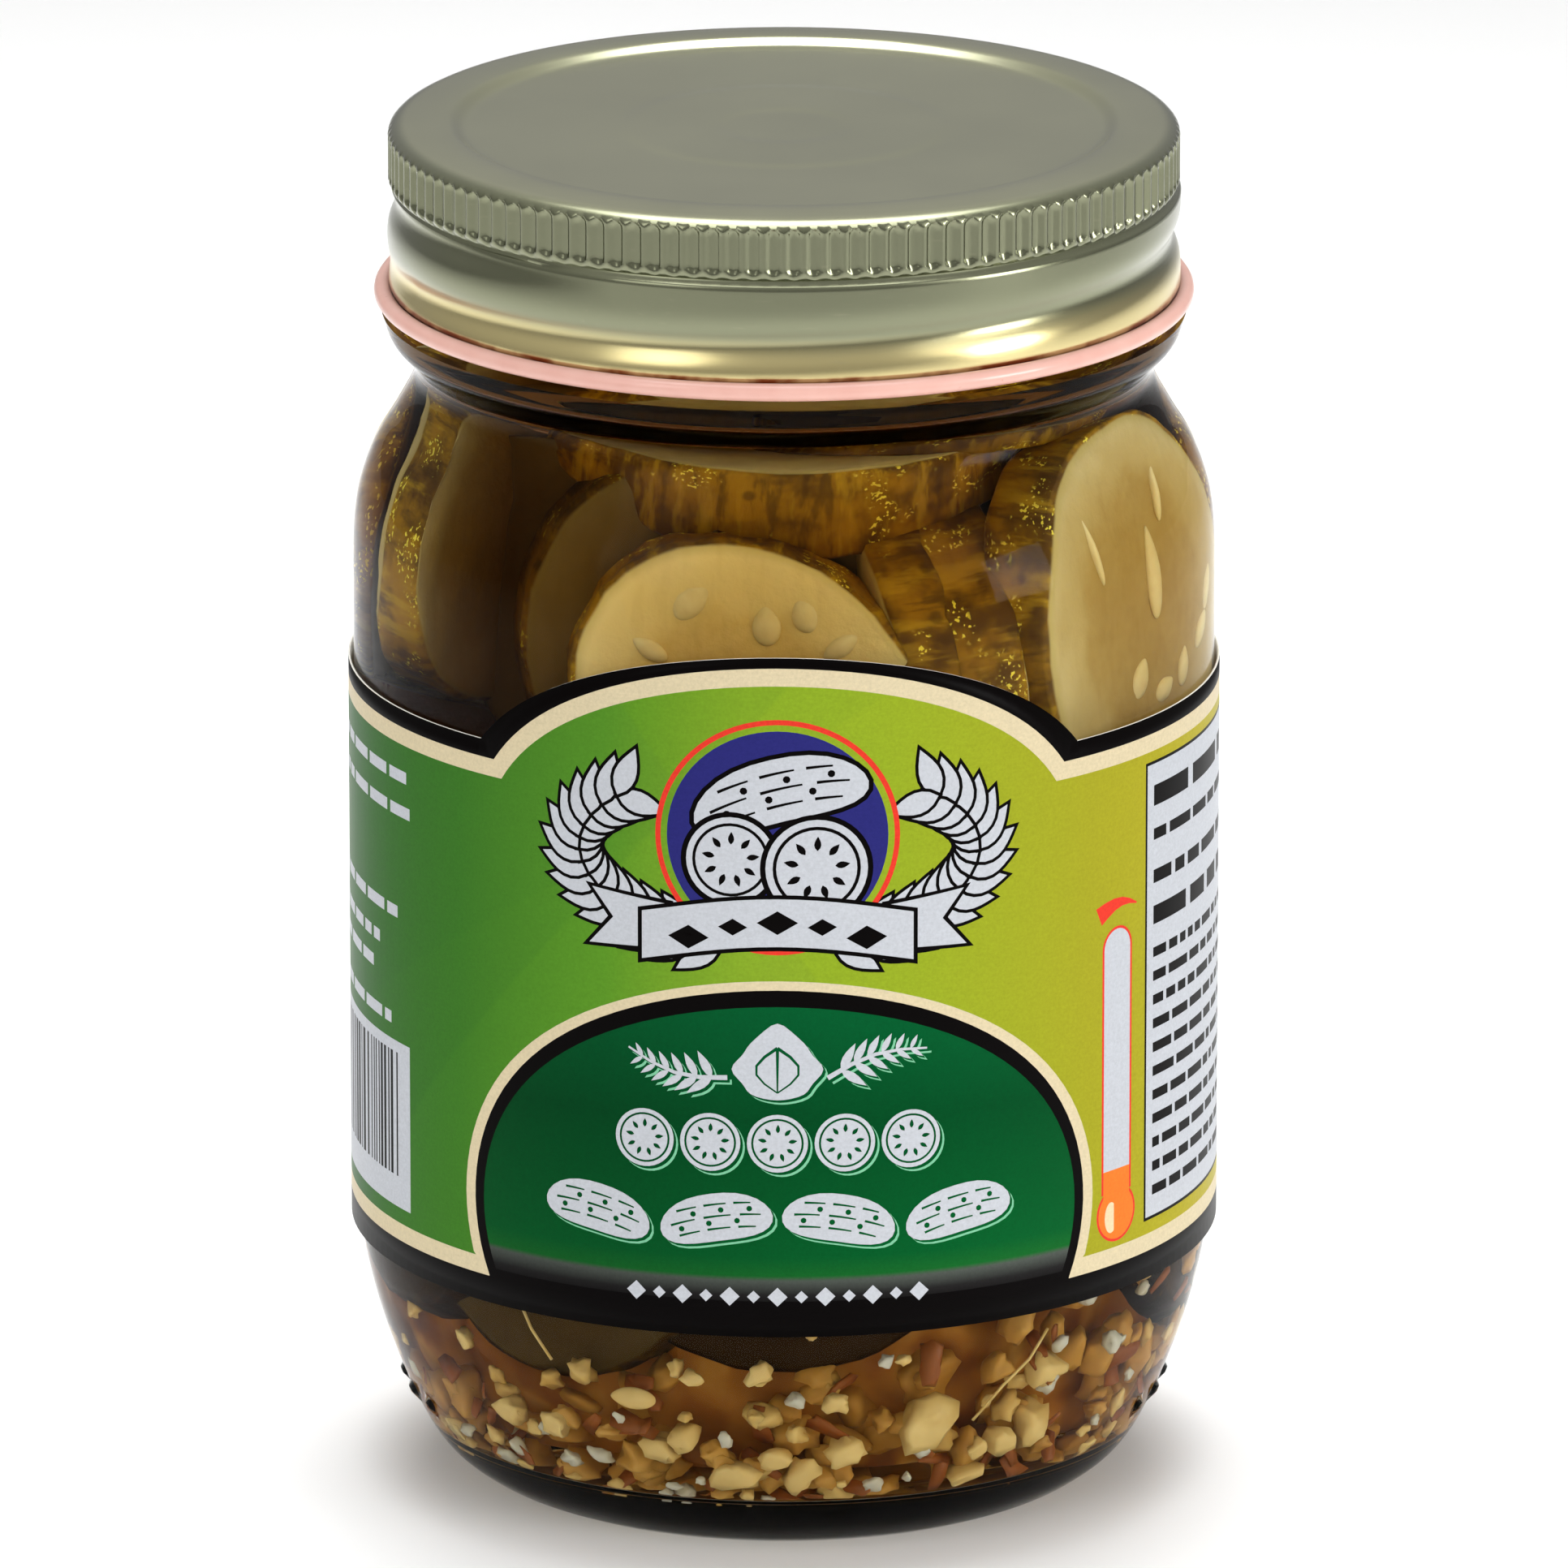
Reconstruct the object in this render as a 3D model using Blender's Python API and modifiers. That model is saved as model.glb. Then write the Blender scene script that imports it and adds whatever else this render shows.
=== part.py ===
"""Pickle jar: a glass jar with a screw lid and a paper label, filled with pickle slices, garlic and chilli.

Metres, +Z up. The origin is the middle of the ring that the jar stands on, and the label faces -Y.
Angles round the jar are counted from the front, growing towards +X.
"""

from math import atan2, cos, degrees, exp, pi, radians, sin, sqrt
from random import Random

import bmesh
import bpy
from mathutils import Matrix, Vector

MM = 0.001
GAP = 0.3 * MM  # left between pieces that touch
MERGE = 0.00001
ROUND_STEPS = 48  # facets round the glass and the lid

# Glass jar
STAND_RING_INNER = 25.6 * MM
STAND_RING_OUTER = 28.4 * MM
BODY_RADIUS = 40.4 * MM
WALL = 2.6 * MM
MOUTH_RADIUS = 31.6 * MM
FINISH_RADIUS = 34.6 * MM
FINISH_TOP = 128.5 * MM
BEAD_RADIUS = 37.6 * MM
BEAD_TOP = 112.7 * MM
NECK_RADIUS = 34.57 * MM
NECK_HEIGHT = 105.7 * MM
FLOOR_MIDDLE = 7.2 * MM
PUSH_UP = 2.4 * MM

# Lid
LID_TOP = 130.1 * MM
LID_WALL = 0.55 * MM
PANEL_RADIUS = 29.6 * MM
PANEL_DEPTH = 0.7 * MM
PANEL_SLOPE = 1.8 * MM
RIM_RADIUS = 36.4 * MM
RIM_ROUNDING = 1.2 * MM
KNURL_COUNT = 124
KNURL_RIDGE = 36.95 * MM
KNURL_VALLEY = 36.55 * MM
KNURL_BOTTOM = 124.6 * MM
KNURL_TOP = 129.2 * MM
SKIRT_RADIUS = 37.05 * MM
SKIRT_TOP = 124.0 * MM
SKIRT_BOTTOM = 115.1 * MM
SKIRT_ROWS = 7
LID_BORE = 35.6 * MM
CURL_CENTRE_RADIUS = 37.46 * MM
CURL_CENTRE_HEIGHT = 113.95 * MM
CURL_RADIUS = 0.84 * MM
GROOVE_DEPTH = 0.85 * MM
GROOVE_HALF_WIDTH = 1.5 * MM
GROOVE_LEAD = 6.2 * MM
GROOVE_LEFT_HEIGHT = 116.5 * MM  # on the lid's left side, where the turn begins
GROOVE_FIRST = -100.0  # degrees from the front
GROOVE_LAST = 335.0
GROOVE_FADE = 30.0

# Label
LABEL_THICKNESS = 0.2 * MM
LABEL_BOTTOM = 24.1 * MM
LABEL_SIDE_TOP = 78.7 * MM
ARCH_TOP = 89.6 * MM
ARCH_HALF_WIDTH = 33.0 * MM
ARCH_RISE = 18.8 * MM
LABEL_HALF_WRAP = 167.0  # degrees each way from the front
LABEL_STEP = 7.5
ARCH_STEP = 3.0
ARCH_REACH = 42.0

# Contents: the slices lie over the garlic and chilli, above a face that rises to the right
CONTENTS_SPLIT = 19.5 * MM
SPLIT_SLOPE = 0.14
CONTENTS_TOP = 109.5 * MM
CORE_RADIUS = 27.0 * MM
ROOM_STEPS = 30
CORE_STEPS = 16
SLICE_SIDES = 16
SLICE_ROUNDING = 1.1 * MM

# Each slice that shows: angle from the front, height, distance out, turn and tip of its face, radius, depth
FRONT_SLICES = {
    "front_middle": (-4.2, 81.8, 30.0, 0.0, 10.0, 17.6, 7.0),
    "front_high_face": (-13.0, 86.0, 20.5, 8.0, 4.0, 17.2, 7.5),
    "front_high_flat": (3.0, 104.0, 10.5, 4.0, 73.0, 18.6, 10.5),
    "right_of_middle_edge": (22.0, 80.5, 20.4, 88.0, 0.0, 16.4, 6.2),
    "right_edge": (34.5, 81.0, 20.6, 84.0, 3.0, 16.2, 7.6),
    "right_face": (64.5, 86.8, 30.2, 0.0, 6.0, 17.6, 8.0),
    "right_high_flat": (52.0, 106.8, 14.5, 30.0, 82.0, 14.0, 4.2),
    "left_face": (-40.0, 89.0, 19.0, -12.0, 2.0, 17.0, 7.5),
    "left_edge": (-77.0, 92.5, 24.8, 117.0, 0.0, 15.0, 8.0),
    "low_left": (-38.0, 35.0, 29.8, 0.0, -4.0, 18.0, 7.0),
    "low_middle": (-1.0, 40.2, 29.6, 0.0, -3.0, 21.0, 7.5),
}
BACK_SLICE_RINGS = ((90.0, 120.0, 240.0, 5), (36.0, 55.0, 285.0, 7), (62.0, 160.0, 200.0, 2))
BACK_SLICE_RADII = (15.0, 19.5)
BACK_SLICE_SEED = 14

GARLIC_COUNT = 44
CHILLI_COUNT = 14
SEDIMENT_SEED = 5
GOLDEN_ANGLE = 137.508

COLOURS = {
    "glass_jar": ((0.90, 0.95, 0.92), 0.04, 0.0),
    "lid": ((0.52, 0.50, 0.36), 0.32, 1.0),
    "label": ((0.28, 0.42, 0.07), 0.45, 0.0),
    "pickle_slices": ((0.42, 0.34, 0.10), 0.35, 0.0),
    "garlic_and_chilli": ((0.55, 0.36, 0.14), 0.5, 0.0),
}


def clear_scene():
    for item in list(bpy.data.objects):
        bpy.data.objects.remove(item, do_unlink=True)


def new_collection(name):
    made = bpy.data.collections.new(name)
    bpy.context.scene.collection.children.link(made)
    return made


def paint(item, name):
    colour, roughness, metallic = COLOURS[name]
    material = bpy.data.materials.new(name)
    material.use_nodes = True
    shader = material.node_tree.nodes["Principled BSDF"]
    shader.inputs["Base Color"].default_value = (*colour, 1.0)
    shader.inputs["Roughness"].default_value = roughness
    shader.inputs["Metallic"].default_value = metallic
    item.data.materials.clear()
    item.data.materials.append(material)


def add_mesh(name, mesh, collection):
    item = bpy.data.objects.new(name, mesh)
    collection.objects.link(item)
    return item


def add_bmesh(name, bm, collection):
    mesh = bpy.data.meshes.new(name)
    bm.to_mesh(mesh)
    bm.free()
    return add_mesh(name, mesh, collection)


def turned(name, outline, steps, collection):
    """A solid turned about Z from (radius, height) points that run down its outer side."""
    bm = bmesh.new()
    points = [bm.verts.new((radius, 0.0, height)) for radius, height in outline]
    for first, second in zip(points, points[1:]):
        bm.edges.new((first, second))
    item = add_bmesh(name, bm, collection)
    screw = item.modifiers.new("Turn", "SCREW")
    screw.angle = 2 * pi
    screw.steps = steps
    screw.render_steps = steps
    screw.use_merge_vertices = True
    screw.merge_threshold = MERGE
    return item


def apply_modifiers(item):
    bpy.context.view_layer.update()
    evaluated = item.evaluated_get(bpy.context.evaluated_depsgraph_get())
    mesh = bpy.data.meshes.new_from_object(evaluated)
    item.modifiers.clear()
    item.data = mesh


def place_at(angle, distance, height):
    turn = radians(angle)
    return Vector((distance * sin(turn), -distance * cos(turn), height))


def read_profile(stations, height):
    """The radius at a height, along straight runs between (radius, height) stations that rise."""
    for (low_radius, low), (high_radius, high) in zip(stations, stations[1:]):
        if low <= height <= high:
            share = (height - low) / (high - low)
            return low_radius + share * (high_radius - low_radius)
    return stations[0][0] if height < stations[0][1] else stations[-1][0]


def outer_glass():
    """(radius, height) stations up the outside of the jar, from the heel to the neck."""
    return [
        (STAND_RING_OUTER, 0.0),
        (30.3 * MM, 0.9 * MM),
        (32.7 * MM, 2.9 * MM),
        (34.7 * MM, 6.1 * MM),
        (37.0 * MM, 11.5 * MM),
        (38.9 * MM, 17.5 * MM),
        (40.1 * MM, 24.0 * MM),
        (BODY_RADIUS, 34.0 * MM),
        (BODY_RADIUS, 88.0 * MM),
        (40.0 * MM, 94.0 * MM),
        (38.5 * MM, 98.5 * MM),
        (36.3 * MM, 102.2 * MM),
        (NECK_RADIUS, NECK_HEIGHT),
        (34.9 * MM, 107.7 * MM),
        (36.85 * MM, 110.0 * MM),
        (BEAD_RADIUS, BEAD_TOP - 0.5 * MM),
    ]


def inner_glass():
    """(radius, height) stations up the inside of the jar, from the floor's edge to the mouth."""
    return [
        (29.0 * MM, 4.9 * MM),
        (32.1 * MM, 7.0 * MM),
        (34.4 * MM, 11.8 * MM),
        (36.3 * MM, 17.9 * MM),
        (37.5 * MM, 24.4 * MM),
        (BODY_RADIUS - WALL, 34.0 * MM),
        (BODY_RADIUS - WALL, 88.0 * MM),
        (37.4 * MM, 93.3 * MM),
        (36.0 * MM, 97.2 * MM),
        (33.9 * MM, 100.6 * MM),
        (32.2 * MM, 104.6 * MM),
        (MOUTH_RADIUS, 110.0 * MM),
    ]


def build_glass_jar(collection):
    rim = 0.6 * MM
    outline = [(0.0, FLOOR_MIDDLE), (22.0 * MM, FLOOR_MIDDLE - 1.1 * MM)]
    outline += inner_glass()
    outline += [
        (MOUTH_RADIUS, FINISH_TOP - rim),
        (MOUTH_RADIUS + rim, FINISH_TOP),
        (FINISH_RADIUS - rim, FINISH_TOP),
        (FINISH_RADIUS, FINISH_TOP - rim),
        (FINISH_RADIUS, BEAD_TOP),
        (BEAD_RADIUS - 0.5 * MM, BEAD_TOP),
    ]
    outline += reversed(outer_glass())
    outline += [(STAND_RING_INNER, 0.0), (22.0 * MM, PUSH_UP - 0.8 * MM), (0.0, PUSH_UP)]
    return turned("glass_jar", outline, ROUND_STEPS, collection)


def groove_at(angle, height):
    """How far the rolled thread presses the lid's skirt in, at an angle from the front and a height."""
    depth = 0.0
    for whole_turns in (-1, 0, 1):
        along = angle + 360.0 * whole_turns
        if not GROOVE_FIRST < along < GROOVE_LAST:
            continue
        to_end = min(along - GROOVE_FIRST, GROOVE_LAST - along)
        strength = min(1.0, to_end / GROOVE_FADE)
        centre = GROOVE_LEFT_HEIGHT + GROOVE_LEAD * (along + 90.0) / 360.0
        away = (height - centre) / GROOVE_HALF_WIDTH
        depth = max(depth, GROOVE_DEPTH * strength * exp(-away * away))
    return depth


def curl_points(first, last, count):
    turns = [radians(first + (last - first) * step / (count - 1)) for step in range(count)]
    return [
        (CURL_CENTRE_RADIUS + CURL_RADIUS * cos(t), CURL_CENTRE_HEIGHT + CURL_RADIUS * sin(t))
        for t in turns
    ]


def build_lid_body(collection):
    rows = [SKIRT_TOP + (SKIRT_BOTTOM - SKIRT_TOP) * row / SKIRT_ROWS for row in range(SKIRT_ROWS + 1)]
    panel = LID_TOP - PANEL_DEPTH
    ceiling = panel - LID_WALL
    outline = [
        (0.0, panel),
        (PANEL_RADIUS, panel),
        (PANEL_RADIUS + PANEL_SLOPE, LID_TOP),
        (RIM_RADIUS - RIM_ROUNDING, LID_TOP),
        (RIM_RADIUS - 0.3 * RIM_ROUNDING, LID_TOP - 0.3 * RIM_ROUNDING),
        (RIM_RADIUS, LID_TOP - RIM_ROUNDING),
        (RIM_RADIUS, KNURL_BOTTOM - 0.1 * MM),
    ]
    outline += [(SKIRT_RADIUS, height) for height in rows]
    outline += curl_points(55.0, -120.0, 5)
    outline += [
        (CURL_CENTRE_RADIUS - CURL_RADIUS, CURL_CENTRE_HEIGHT),
        (LID_BORE, CURL_CENTRE_HEIGHT + 0.6 * MM),
        (LID_BORE, ceiling),
        (0.0, ceiling),
    ]
    item = turned("lid", outline, ROUND_STEPS, collection)
    apply_modifiers(item)
    for vertex in item.data.vertices:
        spot = vertex.co
        flat = Vector((spot.x, spot.y, 0.0))
        if flat.length < SKIRT_RADIUS - 0.01 * MM or not SKIRT_BOTTOM < spot.z < SKIRT_TOP:
            continue
        angle = degrees(atan2(spot.x, -spot.y))
        vertex.co = spot - flat.normalized() * groove_at(angle, spot.z)
    return item


def build_knurl_ring(collection):
    """A ring with one ridge and one valley a rib, to be joined to the lid."""
    curve = bpy.data.curves.new("knurl_ring", "CURVE")
    curve.dimensions = "2D"
    curve.fill_mode = "BOTH"
    curve.extrude = (KNURL_TOP - KNURL_BOTTOM) / 2
    teeth = [KNURL_RIDGE, KNURL_VALLEY] * KNURL_COUNT
    hole = [(LID_BORE + RIM_RADIUS) / 2] * ROUND_STEPS
    for radii in (teeth, hole):
        spline = curve.splines.new("POLY")
        spline.points.add(len(radii) - 1)
        spline.use_cyclic_u = True
        for index, radius in enumerate(radii):
            turn = 2 * pi * index / len(radii)
            spline.points[index].co = (radius * cos(turn), radius * sin(turn), 0.0, 1.0)
    source = bpy.data.objects.new("knurl_ring_curve", curve)
    collection.objects.link(source)
    bpy.context.view_layer.update()
    mesh = bpy.data.meshes.new_from_object(source.evaluated_get(bpy.context.evaluated_depsgraph_get()))
    bpy.data.objects.remove(source)
    bm = bmesh.new()
    bm.from_mesh(mesh)
    bmesh.ops.remove_doubles(bm, verts=bm.verts, dist=MERGE)
    bmesh.ops.recalc_face_normals(bm, faces=bm.faces)
    bmesh.ops.translate(bm, verts=bm.verts, vec=(0.0, 0.0, (KNURL_TOP + KNURL_BOTTOM) / 2))
    return add_bmesh("knurl_ring", bm, collection)


def boolean(item, operation, other=None, group=None):
    step = item.modifiers.new(operation.title(), "BOOLEAN")
    step.operation = operation
    step.solver = "EXACT"
    if group is None:
        step.object = other
    else:
        step.operand_type = "COLLECTION"
        step.collection = group
    apply_modifiers(item)


def remove_all(group):
    for item in list(group.objects):
        bpy.data.objects.remove(item, do_unlink=True)


def keep_largest(item):
    """Leaves the largest closed surface, so that no scrap or sealed hollow stays."""
    bm = bmesh.new()
    bm.from_mesh(item.data)
    bmesh.ops.remove_doubles(bm, verts=bm.verts, dist=MERGE)
    bmesh.ops.dissolve_degenerate(bm, edges=bm.edges, dist=MERGE)
    bm.verts.ensure_lookup_table()
    seen = set()
    pieces = []
    for start in bm.verts:
        if start in seen:
            continue
        seen.add(start)
        piece = [start]
        for vertex in piece:
            for edge in vertex.link_edges:
                other = edge.other_vert(vertex)
                if other not in seen:
                    seen.add(other)
                    piece.append(other)
        pieces.append(piece)
    pieces.sort(key=len, reverse=True)
    for piece in pieces[1:]:
        bmesh.ops.delete(bm, geom=piece, context="VERTS")
    bm.to_mesh(item.data)
    bm.free()


def build_lid(collection, cutters):
    lid = build_lid_body(collection)
    boolean(lid, "UNION", other=build_knurl_ring(cutters))
    remove_all(cutters)
    return lid


def label_top(angle):
    """The height of the label's top edge: level at the sides, with an arch over the middle."""
    along = radians(angle) * BODY_RADIUS
    if abs(along) >= ARCH_HALF_WIDTH:
        return LABEL_SIDE_TOP
    share = along / ARCH_HALF_WIDTH
    return max(LABEL_SIDE_TOP, ARCH_TOP - ARCH_RISE * (1.0 - sqrt(1.0 - share * share)))


def build_label(collection):
    steps_out = int(LABEL_HALF_WRAP // LABEL_STEP)
    angles = {LABEL_STEP * step for step in range(-steps_out, steps_out + 1)}
    arch_steps = int(ARCH_REACH / ARCH_STEP)
    angles |= {ARCH_STEP * step for step in range(-arch_steps, arch_steps + 1)}
    angles |= {-LABEL_HALF_WRAP, LABEL_HALF_WRAP}
    columns = sorted(angles)
    bm = bmesh.new()
    bmesh.ops.create_grid(bm, x_segments=len(columns) - 1, y_segments=1, size=1.0)
    radius = BODY_RADIUS + GAP
    for vertex in bm.verts:
        angle = columns[round((vertex.co.x + 1.0) / 2.0 * (len(columns) - 1))]
        height = label_top(angle) if vertex.co.y > 0.0 else LABEL_BOTTOM
        vertex.co = place_at(angle, radius, height)
    item = add_bmesh("label", bm, collection)
    sheet = item.modifiers.new("Paper", "SOLIDIFY")
    sheet.thickness = LABEL_THICKNESS
    sheet.offset = 1.0
    return item


def split_height(x):
    return CONTENTS_SPLIT + SPLIT_SLOPE * x


def build_room(name, low, collection):
    """The space that one layer of the contents may fill: above or below the sloping face between them."""
    inset = 1.3 * GAP
    wall = [(radius - inset, height) for radius, height in inner_glass()]
    middle = CONTENTS_SPLIT
    edge = (read_profile(wall, middle), middle)
    above = [point for point in wall if middle + 6.0 * MM < point[1] < CONTENTS_TOP]
    below = [point for point in wall if point[1] < middle - 6.0 * MM]
    if low:
        floor = FLOOR_MIDDLE + inset
        outline = [(0.0, middle), edge] + list(reversed(below[1:]))
        outline += [(below[0][0], below[0][1] + inset), (24.0 * MM, floor - 1.0 * MM), (0.0, floor)]
    else:
        top = (read_profile(wall, CONTENTS_TOP), CONTENTS_TOP)
        outline = [(0.0, CONTENTS_TOP), top] + list(reversed(above)) + [edge, (0.0, middle)]
    item = turned(name, outline, ROOM_STEPS, collection)
    apply_modifiers(item)
    for vertex in item.data.vertices:
        if abs(vertex.co.z - middle) < 0.01 * MM:
            height = split_height(vertex.co.x) + (-0.5 if low else 0.5) * GAP
            reach = read_profile(wall, height)
            flat = Vector((vertex.co.x, vertex.co.y, 0.0))
            if flat.length > 1.0 * MM:
                flat = flat.normalized() * reach
            vertex.co = Vector((flat.x, flat.y, split_height(flat.x) + (-0.5 if low else 0.5) * GAP))
    return item


def add_slice(name, place, collection):
    """One cut of cucumber: a short round block with softened rims, its face looking out of the jar."""
    angle, height, distance, turn, tip, radius, thickness = place
    bm = bmesh.new()
    bmesh.ops.create_cone(
        bm,
        cap_ends=True,
        segments=SLICE_SIDES,
        radius1=radius * MM,
        radius2=radius * MM,
        depth=thickness * MM,
    )
    rims = [edge for edge in bm.edges if abs(edge.verts[0].co.z - edge.verts[1].co.z) < 0.01 * MM]
    bmesh.ops.bevel(bm, geom=rims, offset=SLICE_ROUNDING, segments=1, affect="EDGES")
    facing = place_at(angle + turn, cos(radians(tip)), sin(radians(tip)))
    spin = facing.to_track_quat("Z", "Y").to_matrix().to_4x4()
    centre = Matrix.Translation(place_at(angle, distance * MM, height * MM))
    bmesh.ops.transform(bm, matrix=centre @ spin, verts=bm.verts)
    return add_bmesh(name, bm, collection)


def back_slices():
    """Slices for the sides and the back, which lie at random like the ones that show."""
    draw = Random(BACK_SLICE_SEED)
    places = []
    for height, first, last, count in BACK_SLICE_RINGS:
        for index in range(count):
            angle = first + (last - first) * index / max(1, count - 1)
            radius = draw.uniform(*BACK_SLICE_RADII)
            on_edge = draw.random() < 0.35
            turn = draw.uniform(65.0, 100.0) if on_edge else draw.uniform(-16.0, 16.0)
            distance = 37.0 - radius if on_edge else draw.uniform(28.0, 30.5)
            places.append(
                (angle, height + draw.uniform(-3.0, 3.0), distance, turn, draw.uniform(-10.0, 10.0),
                 radius, draw.uniform(6.5, 8.5))
            )
    return places


def build_pickle_slices(collection, cutters):
    core_outline = [
        (0.0, CONTENTS_TOP - 3.0 * MM),
        (CORE_RADIUS - 4.0 * MM, CONTENTS_TOP - 3.0 * MM),
        (CORE_RADIUS, CONTENTS_TOP - 16.0 * MM),
        (CORE_RADIUS, CONTENTS_SPLIT - 6.0 * MM),
        (0.0, CONTENTS_SPLIT - 6.0 * MM),
    ]
    heap = turned("pickle_slices", core_outline, CORE_STEPS, collection)
    apply_modifiers(heap)
    for name, place in FRONT_SLICES.items():
        add_slice(name, place, cutters)
    for index, place in enumerate(back_slices()):
        add_slice(f"back_{index}", place, cutters)
    boolean(heap, "UNION", group=cutters)
    remove_all(cutters)
    room = build_room("room_above", False, cutters)
    boolean(heap, "INTERSECT", other=room)
    remove_all(cutters)
    keep_largest(heap)
    return heap


def add_bit(name, kind, spot, size, draw, collection):
    """One garlic lump, or one flat chilli flake."""
    bm = bmesh.new()
    if kind == "garlic":
        bmesh.ops.create_icosphere(bm, subdivisions=1, radius=size)
        stretch = Vector((1.0, draw.uniform(0.6, 0.85), draw.uniform(0.5, 0.75)))
    else:
        bmesh.ops.create_cube(bm, size=2.0 * size)
        stretch = Vector((1.0, draw.uniform(0.45, 0.7), 0.22))
    bmesh.ops.scale(bm, vec=stretch, verts=bm.verts)
    spins = [Matrix.Rotation(draw.uniform(0.0, 2 * pi), 4, axis) for axis in "XYZ"]
    bmesh.ops.transform(bm, matrix=Matrix.Translation(spot) @ spins[2] @ spins[1] @ spins[0], verts=bm.verts)
    return add_bmesh(name, bm, collection)


def build_garlic_and_chilli(collection, cutters):
    draw = Random(SEDIMENT_SEED)
    wall = inner_glass()
    core_outline = [
        (0.0, CONTENTS_SPLIT + 6.0 * MM),
        (32.6 * MM, CONTENTS_SPLIT + 6.0 * MM),
        (32.6 * MM, 14.0 * MM),
        (30.6 * MM, 9.6 * MM),
        (27.6 * MM, 7.6 * MM),
        (0.0, 7.6 * MM),
    ]
    heap = turned("garlic_and_chilli", core_outline, CORE_STEPS, collection)
    apply_modifiers(heap)
    kinds = ["garlic"] * GARLIC_COUNT + ["chilli"] * CHILLI_COUNT
    for index, kind in enumerate(kinds):
        angle = GOLDEN_ANGLE * index + draw.uniform(-6.0, 6.0)
        highest = split_height(place_at(angle, 35.0 * MM, 0.0).x) - 1.0 * MM
        height = 6.2 * MM + (highest - 6.2 * MM) * draw.random()
        size = draw.uniform(2.3, 3.9) * MM
        distance = read_profile(wall, height) - draw.uniform(1.0, 1.15) * size
        add_bit(f"bit_{index}", kind, place_at(angle, distance, height), size, draw, cutters)
    boolean(heap, "UNION", group=cutters)
    remove_all(cutters)
    room = build_room("room_below", True, cutters)
    boolean(heap, "INTERSECT", other=room)
    remove_all(cutters)
    keep_largest(heap)
    return heap


def main():
    clear_scene()
    jar = new_collection("pickle_jar")
    cutters = new_collection("cutters")
    made = [
        build_glass_jar(jar),
        build_lid(jar, cutters),
        build_label(jar),
        build_pickle_slices(jar, cutters),
        build_garlic_and_chilli(jar, cutters),
    ]
    for item in made:
        paint(item, item.name)
        item.data.shade_smooth()
        item.data.set_sharp_from_angle(angle=radians(35.0))


main()
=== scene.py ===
# Pickle jar: clear glass, a gold screw lid, a wrapped label, and pickles in brine over garlic and chilli.
# Metres, Z up. The label faces -Y. Angles round the jar are degrees from the front and grow towards +X.
from math import asin, atan2, ceil, cos, degrees, exp, hypot, pi, radians, sin, sqrt
from random import Random

import bmesh
import bpy
from mathutils import Matrix, Vector, noise
from mathutils.geometry import delaunay_2d_cdt


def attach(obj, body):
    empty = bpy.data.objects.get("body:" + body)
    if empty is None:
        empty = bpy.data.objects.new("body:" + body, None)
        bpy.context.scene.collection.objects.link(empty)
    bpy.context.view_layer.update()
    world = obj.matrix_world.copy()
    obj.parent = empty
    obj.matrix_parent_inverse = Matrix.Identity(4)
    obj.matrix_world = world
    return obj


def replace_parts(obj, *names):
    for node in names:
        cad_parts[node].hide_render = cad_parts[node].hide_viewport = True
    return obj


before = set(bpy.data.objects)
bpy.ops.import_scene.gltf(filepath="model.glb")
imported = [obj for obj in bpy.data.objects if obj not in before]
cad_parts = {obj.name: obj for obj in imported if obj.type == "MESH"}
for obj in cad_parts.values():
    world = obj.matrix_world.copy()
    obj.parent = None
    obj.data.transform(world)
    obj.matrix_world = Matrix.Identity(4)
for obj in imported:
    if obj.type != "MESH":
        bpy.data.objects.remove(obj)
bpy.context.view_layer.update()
scene = bpy.context.scene
mm = 0.001


# Small tools that every piece uses

def atAngle(angle, distance, height):
    turn = radians(angle)
    return Vector((distance * sin(turn), -distance * cos(turn), height))


def ease(low, high, value):  # 0 below low, 1 above high, smooth between
    share = min(1.0, max(0.0, (value - low) / (high - low)))
    return share * share * (3 - 2 * share)


def rgb(red, green, blue):  # screen colour, 0 to 255, as the shader's linear colour
    def linear(part):
        part /= 255
        return part / 12.92 if part <= 0.04045 else ((part + 0.055) / 1.055) ** 2.4
    return (linear(red), linear(green), linear(blue), 1.0)


def readRadius(stations, height):  # stations are (radius, height), rising
    for (lowRadius, low), (highRadius, high) in zip(stations, stations[1:]):
        if low <= height <= high:
            return lowRadius + (height - low) / (high - low) * (highRadius - lowRadius)
    return stations[0][0] if height < stations[0][1] else stations[-1][0]


def smoothRun(stations, spacing, mostSteps=10):  # a smooth curve through (radius, height) stations
    points = [Vector(station) for station in stations]
    along = [0.0]
    for first, second in zip(points, points[1:]):
        along.append(along[-1] + (second - first).length)
    slopes = []
    for index in range(len(points)):
        before, after = max(0, index - 1), min(len(points) - 1, index + 1)
        slopes.append((points[after] - points[before]) / (along[after] - along[before]))
    run = []
    for index in range(len(points) - 1):
        length = along[index + 1] - along[index]
        steps = max(1, min(mostSteps, ceil(length / spacing)))
        for step in range(steps):
            t = step / steps
            run.append(
                points[index] * (2 * t**3 - 3 * t**2 + 1) + slopes[index] * length * (t**3 - 2 * t**2 + t)
                + points[index + 1] * (3 * t**2 - 2 * t**3) + slopes[index + 1] * length * (t**3 - t**2)
            )
    run.append(points[-1])
    return [tuple(point) for point in run]


def inMetres(points):
    return [(x * mm, y * mm) for x, y in points]


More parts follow.
